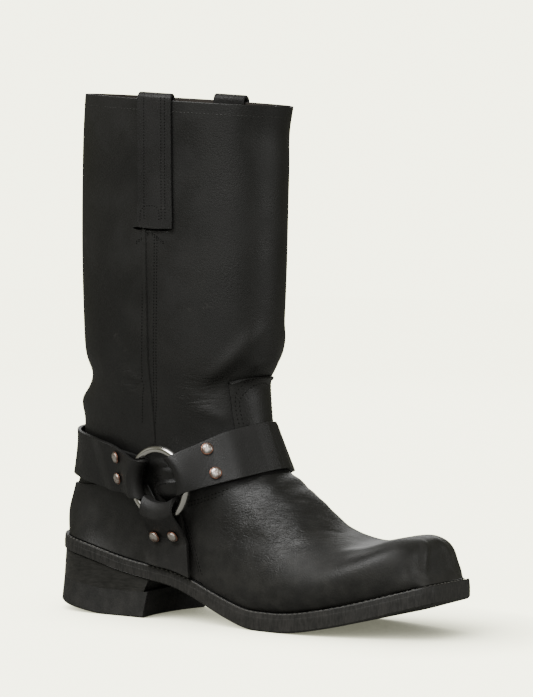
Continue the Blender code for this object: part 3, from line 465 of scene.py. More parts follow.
class Effects:
    """The effects that several finishes share, each built once as a node group."""

    def __init__(self) -> None:
        """Builds the groups."""
        self.grain = self.build_grain()
        self.wear = self.build_wear()
        self.dust = self.build_dust()
        self.lines = self.build_lines()
        self.flex = self.build_flex()

    @staticmethod
    def build_grain() -> bpy.types.NodeTree:
        """Leather grain: small pebbles with pores between them, in patches that come and go."""
        takes = {
            "Vector": ("Vector", 0.0),
            "Pebbles per metre": ("Float", 900.0),
            "Patchiness": ("Float", 0.5),
        }
        nodes, start, end = new_group("leather_grain", takes, {"Height": "Float", "Patches": "Float"})
        place, size = start.outputs["Vector"], start.outputs["Pebbles per metre"]
        cells = nodes.add("TexVoronoi", feature="SMOOTH_F1", Vector=place, Scale=size, Smoothness=0.35)
        fine = nodes.add("TexNoise", Vector=place, Scale=nodes.sum("MULTIPLY", size, 2.3), Detail=3.0)
        broad = nodes.add("TexNoise", Vector=place, Scale=nodes.sum("MULTIPLY", size, 0.045), Detail=4.0)
        patches = nodes.ranged(broad.outputs["Fac"], 0.36, 0.66, 0.0, 1.0)
        pebble = nodes.sum("MULTIPLY", cells.outputs["Distance"], -0.8)
        height = nodes.sum("MULTIPLY_ADD", fine.outputs["Fac"], 0.5, pebble)
        share = nodes.sum("MULTIPLY", patches, start.outputs["Patchiness"])
        strength = nodes.sum("SUBTRACT", 1.0, share)
        nodes.tree.links.new(nodes.sum("MULTIPLY", height, strength), end.inputs["Height"])
        nodes.tree.links.new(patches, end.inputs["Patches"])
        return nodes.tree

    @staticmethod
    def build_wear() -> bpy.types.NodeTree:
        """Rubbed places: blotches with a ragged edge that cover a share of the surface."""
        takes = {"Vector": ("Vector", 0.0), "Blotches per metre": ("Float", 60.0), "Amount": ("Float", 0.3)}
        nodes, start, end = new_group("rubbed_wear", takes, {"Mask": "Float"})
        place = start.outputs["Vector"]
        size = start.outputs["Blotches per metre"]
        broad = nodes.add("TexNoise", Vector=place, Scale=size, Detail=6.0, Roughness=0.62)
        specks = nodes.add("TexNoise", Vector=place, Scale=nodes.sum("MULTIPLY", size, 14.0), Detail=2.0)
        ragged = nodes.sum("MULTIPLY_ADD", specks.outputs["Fac"], 0.22, broad.outputs["Fac"])
        edge = nodes.sum("SUBTRACT", 0.86, nodes.sum("MULTIPLY", start.outputs["Amount"], 0.35))
        above = nodes.sum("SUBTRACT", ragged, edge)
        nodes.tree.links.new(nodes.ranged(above, 0.0, 0.09, 0.0, 1.0), end.inputs["Mask"])
        return nodes.tree

    @staticmethod
    def build_dust() -> bpy.types.NodeTree:
        """Dust that thins out upwards from the ground."""
        takes = {"Vector": ("Vector", 0.0), "Height": ("Float", 0.06), "Amount": ("Float", 0.5)}
        nodes, start, end = new_group("ground_dust", takes, {"Mask": "Float"})
        split = nodes.add("SeparateXYZ", Vector=start.outputs["Vector"])
        low = nodes.sum("DIVIDE", split.outputs["Z"], start.outputs["Height"])
        low = nodes.ranged(low, 0.0, 1.0, 1.0, 0.0)
        cloud = nodes.add("TexNoise", Vector=start.outputs["Vector"], Scale=110.0, Detail=5.0)
        patchy = nodes.sum("MULTIPLY", low, nodes.ranged(cloud.outputs["Fac"], 0.35, 0.7, 0.2, 1.0))
        nodes.tree.links.new(nodes.sum("MULTIPLY", patchy, start.outputs["Amount"]), end.inputs["Mask"])
        return nodes.tree

    @staticmethod
    def build_flex() -> bpy.types.NodeTree:
        """Fine wrinkles that run one way over a place in the leather and fade out round it."""
        takes = {
            "Vector": ("Vector", 0.0),
            "Middle": ("Vector", 0.0),
            "Turn": ("Float", 0.0),
            "Reach": ("Float", 0.05),
            "Wrinkles per metre": ("Float", 300.0),
        }
        nodes, start, end = new_group("flex_wrinkles", takes, {"Height": "Float"})
        place, middle = start.outputs["Vector"], start.outputs["Middle"]
        apart = nodes.tree.nodes.new("ShaderNodeVectorMath")
        apart.operation = "DISTANCE"
        nodes.tree.links.new(place, apart.inputs[0])
        nodes.tree.links.new(middle, apart.inputs[1])
        turned = nodes.add(
            "VectorRotate", rotation_type="Z_AXIS", Vector=place, Center=middle, Angle=start.outputs["Turn"]
        )
        drawn = nodes.add("Mapping", Vector=turned.outputs["Vector"], Scale=(0.09, 1.0, 0.8))
        size = start.outputs["Wrinkles per metre"]
        crease = nodes.add("TexNoise", Vector=drawn.outputs["Vector"], Scale=size, Detail=3.0, Distortion=0.5)
        valley = nodes.sum("ABSOLUTE", nodes.sum("SUBTRACT", crease.outputs["Fac"], 0.5))
        height = nodes.ranged(valley, 0.0, 0.085, 0.0, 1.0)
        far = nodes.sum("DIVIDE", apart.outputs["Value"], start.outputs["Reach"])
        near = nodes.ranged(far, 0.25, 1.0, 1.0, 0.0)
        nodes.tree.links.new(nodes.sum("MULTIPLY", height, near), end.inputs["Height"])
        return nodes.tree

    @staticmethod
    def build_lines() -> bpy.types.NodeTree:
        """Fine lines drawn along a direction, as brushing, rasping or layers leave them."""
        takes = {"Vector": ("Vector", 0.0), "Lines per metre": ("Float", 1500.0)}
        nodes, start, end = new_group("fine_lines", takes, {"Height": "Float"})
        place, size = start.outputs["Vector"], start.outputs["Lines per metre"]
        noise = nodes.add("TexNoise", Vector=place, Scale=size, Detail=4.0)
        nodes.tree.links.new(noise.outputs["Fac"], end.inputs["Height"])
        return nodes.tree


@dataclass(frozen=True)
class FlexZone:
    """A place where the leather bends and takes fine wrinkles, in metres and radians."""

    middle: Place
    turn: float
    reach: float
    wrinkles: float


FLEX_ZONES = (
    FlexZone((0.138, -0.010, 0.076), -0.85, 0.062, 430.0),
    FlexZone((0.118, -0.038, 0.060), -0.45, 0.042, 400.0),
    FlexZone((0.070, -0.034, 0.150), -0.55, 0.026, 300.0),
    FlexZone((0.018, -0.042, 0.158), -0.10, 0.024, 330.0),
    FlexZone((0.138, 0.022, 0.074), 0.60, 0.050, 330.0),
)


def start_material(name: str) -> tuple[bpy.types.Material, Nodes, bpy.types.Node, bpy.types.NodeSocket]:
    """A material's tree, its shader and the object coordinates that its patterns read."""
    material = bpy.data.materials.new(name)
    material.use_nodes = True
    nodes = Nodes(material.node_tree)
    shader = material.node_tree.nodes["Principled BSDF"]
    place = nodes.add("TexCoord").outputs["Object"]
    return material, nodes, shader, place


def add_group(nodes: Nodes, tree: bpy.types.NodeTree, **values) -> bpy.types.Node:
    """A group node with its inputs set."""
    node = nodes.tree.nodes.new("ShaderNodeGroup")
    node.node_tree = tree
    for name, value in values.items():
        nodes.feed(node, name.replace("_", " "), value)
    return node


@dataclass(frozen=True)
class LeatherFinish:
    """Oiled leather: grain, a mottled oil finish, scuffs that show lighter, and some dust."""

    name: str
    dark: Colour
    light: Colour
    scuffed: Colour
    roughness: tuple[float, float]
    pebbles: float = 900.0
    grain: float = 0.00012
    scuffs: float = 0.25
    dust: float = 0.25
    sheen: float = 0.0
    flexed: float = 0.0

    def material(self, effects: Effects) -> bpy.types.Material:
        """Builds the finish from the shared effects."""
        material, nodes, shader, place = start_material(self.name)
        grain = add_group(nodes, effects.grain, Vector=place, Pebbles_per_metre=self.pebbles, Patchiness=0.45)
        wear = add_group(nodes, effects.wear, Vector=place, Blotches_per_metre=38.0, Amount=self.scuffs)
        dust = add_group(nodes, effects.dust, Vector=place, Height=0.10, Amount=self.dust)
        oil = nodes.add("TexNoise", Vector=place, Scale=14.0, Detail=5.0, Roughness=0.6)
        mottle = nodes.ranged(oil.outputs["Fac"], 0.35, 0.68, 0.0, 1.0)
        base = nodes.tint(mottle, self.dark, self.light)
        worn = nodes.sum("MULTIPLY", wear.outputs["Mask"], 0.55)
        base = nodes.tint(worn, base, self.scuffed)
        base = nodes.tint(dust.outputs["Mask"], base, (0.10, 0.095, 0.085))
        nodes.feed(shader, "Base Color", base)
        dry = nodes.sum("MULTIPLY_ADD", grain.outputs["Patches"], 0.5, nodes.sum("MULTIPLY", mottle, 0.5))
        rough = nodes.ranged(dry, 0.0, 1.0, *self.roughness)
        rough = nodes.sum("MULTIPLY_ADD", wear.outputs["Mask"], 0.10, rough)
        nodes.feed(shader, "Roughness", rough)
        slack = nodes.add("TexNoise", Vector=place, Scale=85.0, Detail=3.0)
        height = nodes.sum("MULTIPLY_ADD", slack.outputs["Fac"], 0.5, grain.outputs["Height"])
        bump = nodes.add("Bump", Height=height, Distance=self.grain, Strength=1.0)
        if self.flexed:
            wrinkles: Value = 0.0
            for zone in FLEX_ZONES:
                flex = add_group(
                    nodes,
                    effects.flex,
                    Vector=place,
                    Middle=zone.middle,
                    Turn=zone.turn,
                    Reach=zone.reach,
                    Wrinkles_per_metre=zone.wrinkles,
                )
                wrinkles = nodes.sum("ADD", wrinkles, flex.outputs["Height"])
            deep = nodes.add("Bump", Height=wrinkles, Distance=self.flexed, Strength=1.0)
            nodes.feed(bump, "Normal", deep.outputs["Normal"])
        nodes.feed(shader, "Normal", bump.outputs["Normal"])
        shader.inputs["Sheen Weight"].default_value = self.sheen
        shader.inputs["Specular IOR Level"].default_value = 0.5
        return material


@dataclass(frozen=True)
class EdgeFinish:
    """The painted edge of a sole or heel: fine lines along it, bare spots and dust, and optionally a painted
    shade that darkens the faces which look up.
    """

    name: str
    dark: Colour
    light: Colour
    bare: Colour
    stretch: Place
    roughness: float = 0.5
    bareness: float = 0.1
    dust: float = 0.2
    ledge: float = 0.0

    def material(self, effects: Effects) -> bpy.types.Material:
        """Builds the finish from the shared effects."""
        material, nodes, shader, place = start_material(self.name)
        drawn = nodes.add("Mapping", Vector=place, Scale=self.stretch)
        lines = add_group(nodes, effects.lines, Vector=drawn.outputs["Vector"], Lines_per_metre=900.0)
        wear = add_group(nodes, effects.wear, Vector=place, Blotches_per_metre=55.0, Amount=self.bareness)
        dust = add_group(nodes, effects.dust, Vector=place, Height=0.045, Amount=self.dust)
        base = nodes.tint(nodes.ranged(lines.outputs["Height"], 0.3, 0.7, 0.0, 1.0), self.dark, self.light)
        base = nodes.tint(nodes.sum("MULTIPLY", wear.outputs["Mask"], 0.8), base, self.bare)
        base = nodes.tint(dust.outputs["Mask"], base, (0.13, 0.12, 0.11))
        # Painted shade: faces that look up, such as the welt's ledge, are darkened towards near black.
        if self.ledge:
            facing = nodes.add("SeparateXYZ", Vector=nodes.add("NewGeometry").outputs["Normal"])
            flat = nodes.ranged(facing.outputs["Z"], 0.5, 0.95, 0.0, self.ledge)
            base = nodes.tint(flat, base, (0.004, 0.004, 0.004))
        nodes.feed(shader, "Base Color", base)
        rough = nodes.sum("MULTIPLY_ADD", dust.outputs["Mask"], 0.25, self.roughness)
        nodes.feed(shader, "Roughness", rough)
        bump = nodes.add("Bump", Height=lines.outputs["Height"], Distance=0.00025, Strength=0.8)
        nodes.feed(shader, "Normal", bump.outputs["Normal"])
        return material


@dataclass(frozen=True)
class MetalFinish:
    """Polished metal with hairline scratches and tarnish in blotches."""

    name: str
    bright: Colour
    tarnish: Colour
    roughness: tuple[float, float]
    tarnished: float = 0.4

    def material(self, effects: Effects) -> bpy.types.Material:
        """Builds the finish from the shared effects."""
        material, nodes, shader, place = start_material(self.name)
        drawn = nodes.add("Mapping", Vector=place, Scale=(1.0, 0.25, 0.4))
        lines = add_group(nodes, effects.lines, Vector=drawn.outputs["Vector"], Lines_per_metre=2600.0)
        wear = add_group(nodes, effects.wear, Vector=place, Blotches_per_metre=240.0, Amount=self.tarnished)
        nodes.feed(shader, "Base Color", nodes.tint(wear.outputs["Mask"], self.bright, self.tarnish))
        nodes.feed(shader, "Roughness", nodes.ranged(wear.outputs["Mask"], 0.0, 1.0, *self.roughness))
        shader.inputs["Metallic"].default_value = 1.0
        bump = nodes.add("Bump", Height=lines.outputs["Height"], Distance=0.00004, Strength=0.6)
        nodes.feed(shader, "Normal", bump.outputs["Normal"])
        return material


@dataclass(frozen=True)
class ThreadFinish:
    """Waxed thread, twisted. Made near black, it also serves as painted shade in the slits."""

    name: str
    dark: Colour
    light: Colour
    gloss: float = 0.5

    def material(self, effects: Effects) -> bpy.types.Material:
        """Builds the finish from the shared effects."""
        material, nodes, shader, place = start_material(self.name)
        shader.inputs["Specular IOR Level"].default_value = self.gloss
        lines = add_group(nodes, effects.lines, Vector=place, Lines_per_metre=3000.0)
        nodes.feed(shader, "Base Color", nodes.tint(lines.outputs["Height"], self.dark, self.light))
        nodes.feed(shader, "Roughness", nodes.ranged(lines.outputs["Height"], 0.2, 0.8, 0.40, 0.65))
        bump = nodes.add("Bump", Height=lines.outputs["Height"], Distance=0.0001, Strength=0.8)
        nodes.feed(shader, "Normal", bump.outputs["Normal"])
        return material


class Finishes:
    """Every finish on the boot, built once."""

    def __init__(self) -> None:
        """Builds the materials."""
        effects = Effects()
        leather = LeatherFinish(
            "oiled_leather",
            (0.0095, 0.0093, 0.0088),
            (0.0170, 0.0165, 0.0155),
            (0.040, 0.038, 0.035),
            (0.42, 0.58),
            grain=0.00013,
            flexed=0.00012,
        )
        strap = LeatherFinish(
            "harness_leather",
            (0.0105, 0.0102, 0.0100),
            (0.0170, 0.0162, 0.0155),
            (0.050, 0.044, 0.040),
            (0.46, 0.60),
            pebbles=1300.0,
            grain=0.00016,
            scuffs=0.30,
        )
        lining = LeatherFinish(
            "raw_lining",
            (0.026, 0.020, 0.015),
            (0.045, 0.034, 0.025),
            (0.09, 0.07, 0.05),
            (0.85, 0.95),
            sheen=0.3,
        )
        insole = LeatherFinish(
            "insole_leather",
            (0.20, 0.13, 0.075),
            (0.30, 0.20, 0.12),
            (0.38, 0.27, 0.17),
            (0.55, 0.75),
            pebbles=700.0,
        )
        black, grey = (0.015, 0.015, 0.014), (0.036, 0.034, 0.032)
        along = (1.0, 1.0, 0.2)
        # The welt's ledge gets painted shade on its upward faces.
        welt = EdgeFinish("welt_edge", black, grey, (0.12, 0.045, 0.025), along, 0.52, 0.14, ledge=0.9)
        outsole = EdgeFinish("outsole_edge", black, grey, (0.07, 0.055, 0.045), along, 0.50, 0.10)
        heel = EdgeFinish(
            "heel_edge",
            (0.010, 0.010, 0.009),
            (0.024, 0.023, 0.021),
            (0.06, 0.04, 0.03),
            (0.2, 0.2, 1.0),
            0.40,
            0.04,
        )
        lift = EdgeFinish(
            "lift_rubber",
            (0.013, 0.013, 0.013),
            (0.022, 0.022, 0.021),
            (0.05, 0.045, 0.04),
            (1.0, 1.0, 1.0),
            0.6,
            0.15,
        )
        nickel = MetalFinish("nickel", (0.70, 0.68, 0.65), (0.40, 0.36, 0.32), (0.18, 0.38), 0.35)
        rivet = MetalFinish("rivet_cap", (0.66, 0.61, 0.57), (0.36, 0.27, 0.23), (0.34, 0.52), 0.70)
        copper = MetalFinish("copper_burr", (0.45, 0.22, 0.15), (0.20, 0.10, 0.07), (0.35, 0.55), 0.6)
        collar = ThreadFinish("black_thread", (0.012, 0.012, 0.012), (0.048, 0.046, 0.042))
        welted = ThreadFinish("grey_thread", (0.055, 0.053, 0.049), (0.15, 0.145, 0.13))
        sunk = ThreadFinish("seam_thread", (0.003, 0.003, 0.003), (0.010, 0.010, 0.009), 0.10)
        # Near-black painted shade for the slits at the foot of the pull straps.
        slit_shade = ThreadFinish("dark_hollow", (0.001, 0.001, 0.001), (0.002, 0.002, 0.002), 0.0)
        self.leather = leather.material(effects)
        self.strap = strap.material(effects)
        self.lining = lining.material(effects)
        self.insole = insole.material(effects)
        self.welt = welt.material(effects)
        self.outsole = outsole.material(effects)
        self.heel = heel.material(effects)
        self.lift = lift.material(effects)
        self.nickel = nickel.material(effects)
        self.rivet = rivet.material(effects)
        self.copper = copper.material(effects)
        self.thread = collar.material(effects)
        self.welt_thread = welted.material(effects)
        self.seam_thread = sunk.material(effects)
        self.dark = slit_shade.material(effects)


def dress(piece: bpy.types.Object, slot: str, *finish: bpy.types.Material) -> None:
    """Gives a piece its finish and lets it ride on the boot."""
    for material in finish:
        if material.name not in piece.data.materials:
            piece.data.materials.append(material)
    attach(piece, "root")
    log.info("%s: %d faces", piece.name, len(piece.data.polygons))


# Stitching


@dataclass(frozen=True)
class Thread:
    """One stitch: its length, width and height, and the distance to the next, in millimetres."""

    long: float = 2.0
    wide: float = 0.62
    high: float = 0.42
    pitch: float = 2.75

    def model(self) -> bpy.types.Object:
        """One stitch along X, thick in its middle, whose two ends dip into the leather."""
        bpy.ops.object.select_all(action="DESELECT")
        bpy.ops.mesh.primitive_cylinder_add(vertices=6, radius=0.5, depth=1.0, rotation=(0, math.pi / 2, 0))
        stitch = bpy.context.object
        bpy.ops.object.transform_apply(rotation=True, scale=True)
        with editing(stitch):
            pick_faces(stitch, lambda face: abs(face.normal.x) > 0.9)
            bpy.ops.mesh.inset(thickness=0.14)
            pick_faces(stitch, lambda face: abs(face.normal.x) < 0.5)
            bpy.ops.mesh.subdivide(number_cuts=1)
        size = (self.long / 1000, self.wide / 1000, self.high / 1000)
        places = vertex_places(stitch)
        arch = 1.0 - (2 * places[:, 0]) ** 2
        places[:, 1:] *= (0.62 + 0.38 * arch)[:, None]
        places[:, 2] += 0.55 * arch - 0.45
        set_places(stitch, places * np.array(size))
        return stitch


@dataclass
class Stitching:
    """Rows of one thread, gathered into one piece."""

    name: str
    thread: Thread
    surface: BVHTree
    frames: list[Matrix] = field(default_factory=list)

    def sew(self, points: np.ndarray, keep: Keep = None) -> None:
        """Adds a row along points that lie near the surface.

        Args:
            points: The row's line, in metres.
            keep: A test of a point, which leaves out the stitches that it refuses.
        """
        stops = even_steps(points, self.thread.pitch / 1000)
        for a, b in zip(stops, stops[1:]):
            start, middle, end = (self.surface.find_nearest(Vector(p)) for p in (a, (a + b) / 2, b))
            if keep is not None and not keep(middle[0]):
                continue
            run = (end[0] - start[0]).normalized()
            out = middle[1]
            if out.dot(middle[0] - core_point(middle[0])) < 0 and abs(out.z) < 0.8:
                out = -out
            across = out.cross(run).normalized()
            out = run.cross(across)
            turned = Matrix((run, across, out)).transposed().to_4x4()
            self.frames.append(Matrix.Translation(middle[0]) @ turned)

    def sew_line(self, line: Line, keep: Keep = None) -> None:
        """Adds a row along a line in millimetres."""
        self.sew(smooth_line(line, 1.0) / 1000, keep)

    def finished(self) -> bpy.types.Object:
        """The whole stitching as one mesh of copied stitches."""
        stitch = self.thread.model()
        shape = vertex_places(stitch)
        faces = [tuple(face.vertices) for face in stitch.data.polygons]
        corners, all_faces = [], []
        for i, turned in enumerate(self.frames):
            grid = np.array(turned)
            corners.append(shape @ grid[:3, :3].T + grid[:3, 3])
            all_faces += [tuple(v + i * len(shape) for v in face) for face in faces]
        mesh = bpy.data.meshes.new(self.name)
        mesh.from_pydata(np.vstack(corners).tolist(), [], all_faces)
        piece = bpy.data.objects.new(self.name, mesh)
        bpy.context.scene.collection.objects.link(piece)
        bpy.data.objects.remove(stitch)
        with editing(piece):
            bpy.ops.mesh.select_all(action="SELECT")
            bpy.ops.mesh.normals_make_consistent(inside=False)
        shade(piece)
        return piece


def core_point(place: Vector) -> Vector:
    """The nearest point of the boot's core to a place in metres."""
    found = nearest_on(np.array(BOOT_CORE, float) / 1000, np.array([place]))[0]
    return Vector(found[0])


def mean_reach(line: np.ndarray) -> float:
    """How far the points of a line in metres lie from the boot's core, on average."""
    return float(np.mean([(Vector(point) - core_point(Vector(point))).length for point in line]))


def inset_loop(loop: np.ndarray, surface: BVHTree, inset: float) -> np.ndarray:
    """A closed line on a surface, moved sideways along it towards its own middle.

    Args:
        loop: The closed line, in metres.
        surface: The surface it lies on.
        inset: How far it moves, in metres.

    Returns:
        The moved line.
    """
    stops = even_steps(loop, 0.0015)[:-1]
    centre = stops.mean(axis=0)
    moved = []
    for i, point in enumerate(stops):
        run = stops[(i + 2) % len(stops)] - stops[i - 2]
        _, normal, _, _ = surface.find_nearest(Vector(point + (centre - point) * 0.004))
        side = np.cross(normal, run)
        side /= max(np.linalg.norm(side), 1e-9)
        out = np.array((Vector(point) - core_point(Vector(point))).normalized()) * 0.0012
        moved.append((point + out, side))
    tries = []
    for sign in (1, -1):
        tries.append([np.array(surface.find_nearest(Vector(p + s * sign * inset))[0]) for p, s in moved])
    gaps = [np.mean([np.linalg.norm(q - p) for q, (p, _) in zip(row, moved)]) for row in tries]
    row = tries[0] if gaps[0] > gaps[1] else tries[1]
    return np.array(row + [row[0]])


def cord_along(name: str, line: Line, radius: float, surface: BVHTree, flat: float = 1.0) -> bpy.types.Object:
    """A thin raised cord laid on a surface.

    Args:
        name: The piece's name.
        line: Its line, in millimetres.
        radius: Its radius, in millimetres.
        surface: The surface it lies on.
        flat: How much of its height stands above the surface, from 0 to 1.

    Returns:
        The cord as a mesh.
    """
    curve = bpy.data.curves.new(name, "CURVE")
    curve.dimensions = "3D"
    curve.bevel_depth = radius / 1000
    curve.bevel_resolution = 3
    curve.use_fill_caps = True
    stops = smooth_line(line, 1.5) / 1000
    spline = curve.splines.new("POLY")
    spline.points.add(len(stops) - 1)
    for i, stop in enumerate(stops):
        place, normal, _, _ = surface.find_nearest(Vector(stop))
        share = min(i, len(stops) - 1 - i) / max(len(stops) - 1, 1)
        spline.points[i].co = (*(place - normal * radius / 1000 * (1 - flat)), 1.0)
        spline.points[i].radius = min(1.0, 0.35 + 4 * share)
    cord = bpy.data.objects.new(name, curve)
    bpy.context.scene.collection.objects.link(cord)
    select_only(cord)
    bpy.ops.object.convert(target="MESH")
    cord = bpy.context.object
    shade(cord)
    return cord


# The boot's own pieces


@dataclass
class LeatherUpper:
    """Shaft, vamp and counter, with their folds, seams and stitching."""

    finishes: Finishes
    collar_inset: float = 0.0068
    edge_rows: tuple[float, ...] = (0.0020, 0.0044)
    seam_x: float = 34.5
    levels: int = 3
    tab_rows: tuple[Line, ...] = (
        ((91.7, 20.4, 129), (90.3, 21.5, 137), (89.6, 21.9, 144), (90.1, 20.8, 150.5), (91.5, 19.0, 153.3)),
        ((91.5, 19.0, 153.3), (96.0, 13.4, 157.0), (98.6, 7.0, 158.0), (99.6, 0.0, 158.3)),
        ((93.7, 18.2, 129), (92.3, 19.3, 137), (91.5, 19.6, 143), (92.3, 18.3, 147.5), (93.5, 16.2, 149.6)),
        ((93.5, 16.2, 149.6), (96.9, 11.9, 152.8), (98.9, 6.0, 153.8), (99.6, 0.0, 154.0)),
    )
    vamp_rows: tuple[Line, ...] = (
        ((62, 41, 80), (70, 40.6, 82.5), (83, 38.5, 87)),
        ((83, 38.5, 87), (93, 32.5, 91), (100.4, 26, 94)),
        ((33, 48, 97), (41, 48, 96), (49, 48, 94)),
    )

    def folds(self) -> list[Fold]:
        """The main creases, set where the leather gives."""
        flex = [
            Fold(((66, -39, 153), (79, -33, 162), (90, -27, 173), (99, -18, 186), (104, -6, 194)), 5.5, 1.7),
            Fold(((70, -37, 146), (83, -31, 154), (93, -24, 163), (100, -14, 172)), 6.5, -1.5),
            Fold(((92, -18, 166), (99, -8, 168), (100, 4, 168), (96, 16, 165)), 3.6, 0.8),
            Fold(((60, -36, 140), (70, -31, 138), (80, -25, 134), (84, -20, 129)), 4.5, 0.9),
            Fold(((12, -43, 164), (20, -44, 160), (30, -43, 156)), 3.0, 0.6),
            Fold(((14, -43, 158), (22, -44, 154), (30, -42, 151)), 3.0, -0.6),
            Fold(((-18, -33, 148), (-32, -24, 143), (-42, -8, 141), (-43, 8, 141), (-32, 24, 143)), 6.0, 1.4),
            Fold(HEEL_SLACK, 6.5, -1.2),
            Fold(((126, -24, 84), (132, -16, 84), (138, -8, 82), (143, -1, 79)), 3.0, -0.5),
            Fold(((122, -30, 78), (131, -23, 78), (140, -14, 76), (149, -4, 72)), 3.2, -0.6),
            Fold(((124, -28, 81), (133, -20, 81), (141, -11, 79)), 3.0, 0.45),
            Fold(((142, -26, 65), (150, -19, 66), (158, -11, 65), (166, -3, 63)), 3.2, -0.6),
            Fold(((138, -30, 66), (146, -24, 68), (154, -16, 68)), 3.2, 0.45),
            Fold(((168, -31, 50), (184, -27, 55), (200, -25, 58), (212, -19, 60), (222, -9, 61)), 4.5, 0.9),
            Fold(((219, -6, 62), (225, -9, 59), (229, -14, 52), (232, -17, 45), (234, -18, 38)), 3.6, 2.2),
            Fold(TOE_WALL, 9.0, -2.6),
            Fold(INSTEP, 8.0, 2.5),
            Fold(((128, -22, 80), (133, -10, 85), (134, 2, 86), (133, 14, 84), (128, 24, 80)), 5.0, -0.8),
            Fold(((92, -34, 318), (104, -22, 318), (109, 0, 318), (104, 22, 318), (92, 34, 318)), 15.0, -1.7),
            Fold(((186, -38, 42), (200, -34, 43), (214, -30, 44), (224, -27, 43)), 6.0, -0.7),
            Fold(((196, -14, 60), (206, -6, 61), (214, 4, 61), (214, 12, 60)), 7.0, -0.6),
            Fold(((46, -40, 76), (46, -41, 91), (46, -40, 107)), 13.0, 5.8),
            Fold(((104, -41, 58), (120, -40, 57), (137, -38, 56), (155, -31, 56)), 4.5, -0.7),
            Fold(((98, -40, 66), (112, -38, 66), (126, -36, 64)), 5.0, 0.7),
            Fold(((108, -30, 84), (116, -33, 72), (127, -38, 60)), 7.0, 0.6),
        ]
        outer = [fold for fold in flex if all(y < 0 for _, y, _ in fold.line)]
        mirrored = [fold.mirrored(0.4 if fold.line[0][0] > 100 else 0.8) for fold in outer]
        seams = [
            Fold(tuple((self.seam_x, side.value * 47.0, z) for z in (262, 235, 205, 175, 145)), 4.6, -0.35)
            for side in Side
        ]
        return flex + mirrored + seams

    def skin(self, node: str, levels: int) -> bpy.types.Object:
        """A leather skin over a CAD node, smoothed, folded and dressed.

        Args:
            node: The CAD node.
            levels: The levels of its subdivision surface.

        Returns:
            The finished skin.
        """
        piece = cage_from(node, node + "_leather", 0.82)
        if node == "upper":
            self.mark_lining(piece)
        smooth_through(piece, levels)
        press_folds(piece, self.folds())
        if node == "upper":
            self.thin_lining(piece)
        shade(piece)
        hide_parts(node)
        dress(piece, "upper_leather", self.finishes.leather)
        return piece

    def mark_lining(self, piece: bpy.types.Object) -> None:
        """Gives the inner face of the wall its own finish."""
        piece.data.materials.append(self.finishes.leather)
        piece.data.materials.append(self.finishes.lining)
        with editing(piece):
            high = max(face.center.z for face in piece.data.polygons) - 0.010

            def seed(face: bmesh.types.BMFace) -> bool:
                """A face high in the shaft that looks inwards."""
                place = face.calc_center_median()
                level = abs(face.normal.z) < 0.5 and place.z > high - 0.03
                return level and face.normal.dot(place - core_point(place)) < 0

            pick_faces(piece, seed)
            bpy.ops.mesh.select_linked(delimit={"SHARP"})
            piece.active_material_index = 1
            bpy.ops.object.material_slot_assign()

    def thin_lining(self, piece: bpy.types.Object) -> None:
        """Takes the fine faces out of the lining, which only shows from above."""
        with editing(piece):
            piece.active_material_index = 1
            bpy.ops.object.material_slot_select()
            bpy.ops.mesh.decimate(ratio=0.15)

    def build(self) -> dict[str, bpy.types.Object]:
        """Builds the three skins and what is sewn on them.

        Returns:
            The skins by the name of their CAD node.
        """
        skins = {node: self.skin(node, self.levels) for node in ("upper", "vamp", "counter")}
        self.sew_skins(skins)
        return skins

    def sew_skins(self, skins: dict[str, bpy.types.Object]) -> None:
        """Stitches the collar, the vamp's and the counter's edges, and the side seams."""
        thread = Thread()
        whole = surface_of(*skins.values())
        collar = Stitching("collar_stitching", thread, surface_of(skins["upper"]))
        rims = [loop for loop in cut_edges(skins["upper"]) if loop[:, 2].mean() > 0.32]
        rim = max(rims, key=lambda loop: np.ptp(loop[:, 0])) - np.array((0, 0, self.collar_inset))
        collar.sew(rim)
        piece = collar.finished()
        dress(piece, "upper_leather", self.finishes.thread)

        edges = Stitching("overlay_stitching", thread, whole)
        ground = surface_of(frame["nodes"]["welt"])
        for node in ("vamp", "counter"):
            surface = surface_of(skins[node])
            loops = cut_edges(skins[node])[:2]
            loop = max(loops, key=mean_reach)
            for inset in self.edge_rows:
                edges.sew(inset_loop(loop, surface, inset), lambda p: ground.find_nearest(p)[3] > 0.007)
        for side in Side:
            y = side.value
            for drop in (1.8, 4.2):
                for row in self.vamp_rows:
                    edges.sew_line(tuple((px, py * y, pz - drop) for px, py, pz in row))
            for row in self.tab_rows:
                edges.sew_line(tuple((px, py * y, pz) for px, py, pz in row))
        piece = edges.finished()
        dress(piece, "upper_leather", self.finishes.seam_thread)

        seams = Stitching("side_seam_stitching", Thread(1.6, 0.80, 0.50, 2.1), surface_of(skins["upper"]))
        for side in Side:
            y = side.value * 52.0
            for x in (33.6, 42.9, 45.1):
                lean = ((0.0, 252), (-0.8, 220), (-1.8, 190), (-3.0, 164), (-4.8, 143), (-7.2, 127))
                seams.sew_line(tuple((x + shift, y, z) for shift, z in lean))
            for drop in (0.0, 1.2):
                seams.sew_line(((38.6, y, 254.0 - drop), (33.0, y, 250.6 - drop), (27.6, y, 247.4 - drop)))
                seams.sew_line(((40.4, y, 254.0 - drop), (45.6, y, 250.8 - drop), (50.6, y, 247.6 - drop)))
        piece = seams.finished()
        dress(piece, "upper_leather", self.finishes.seam_thread)


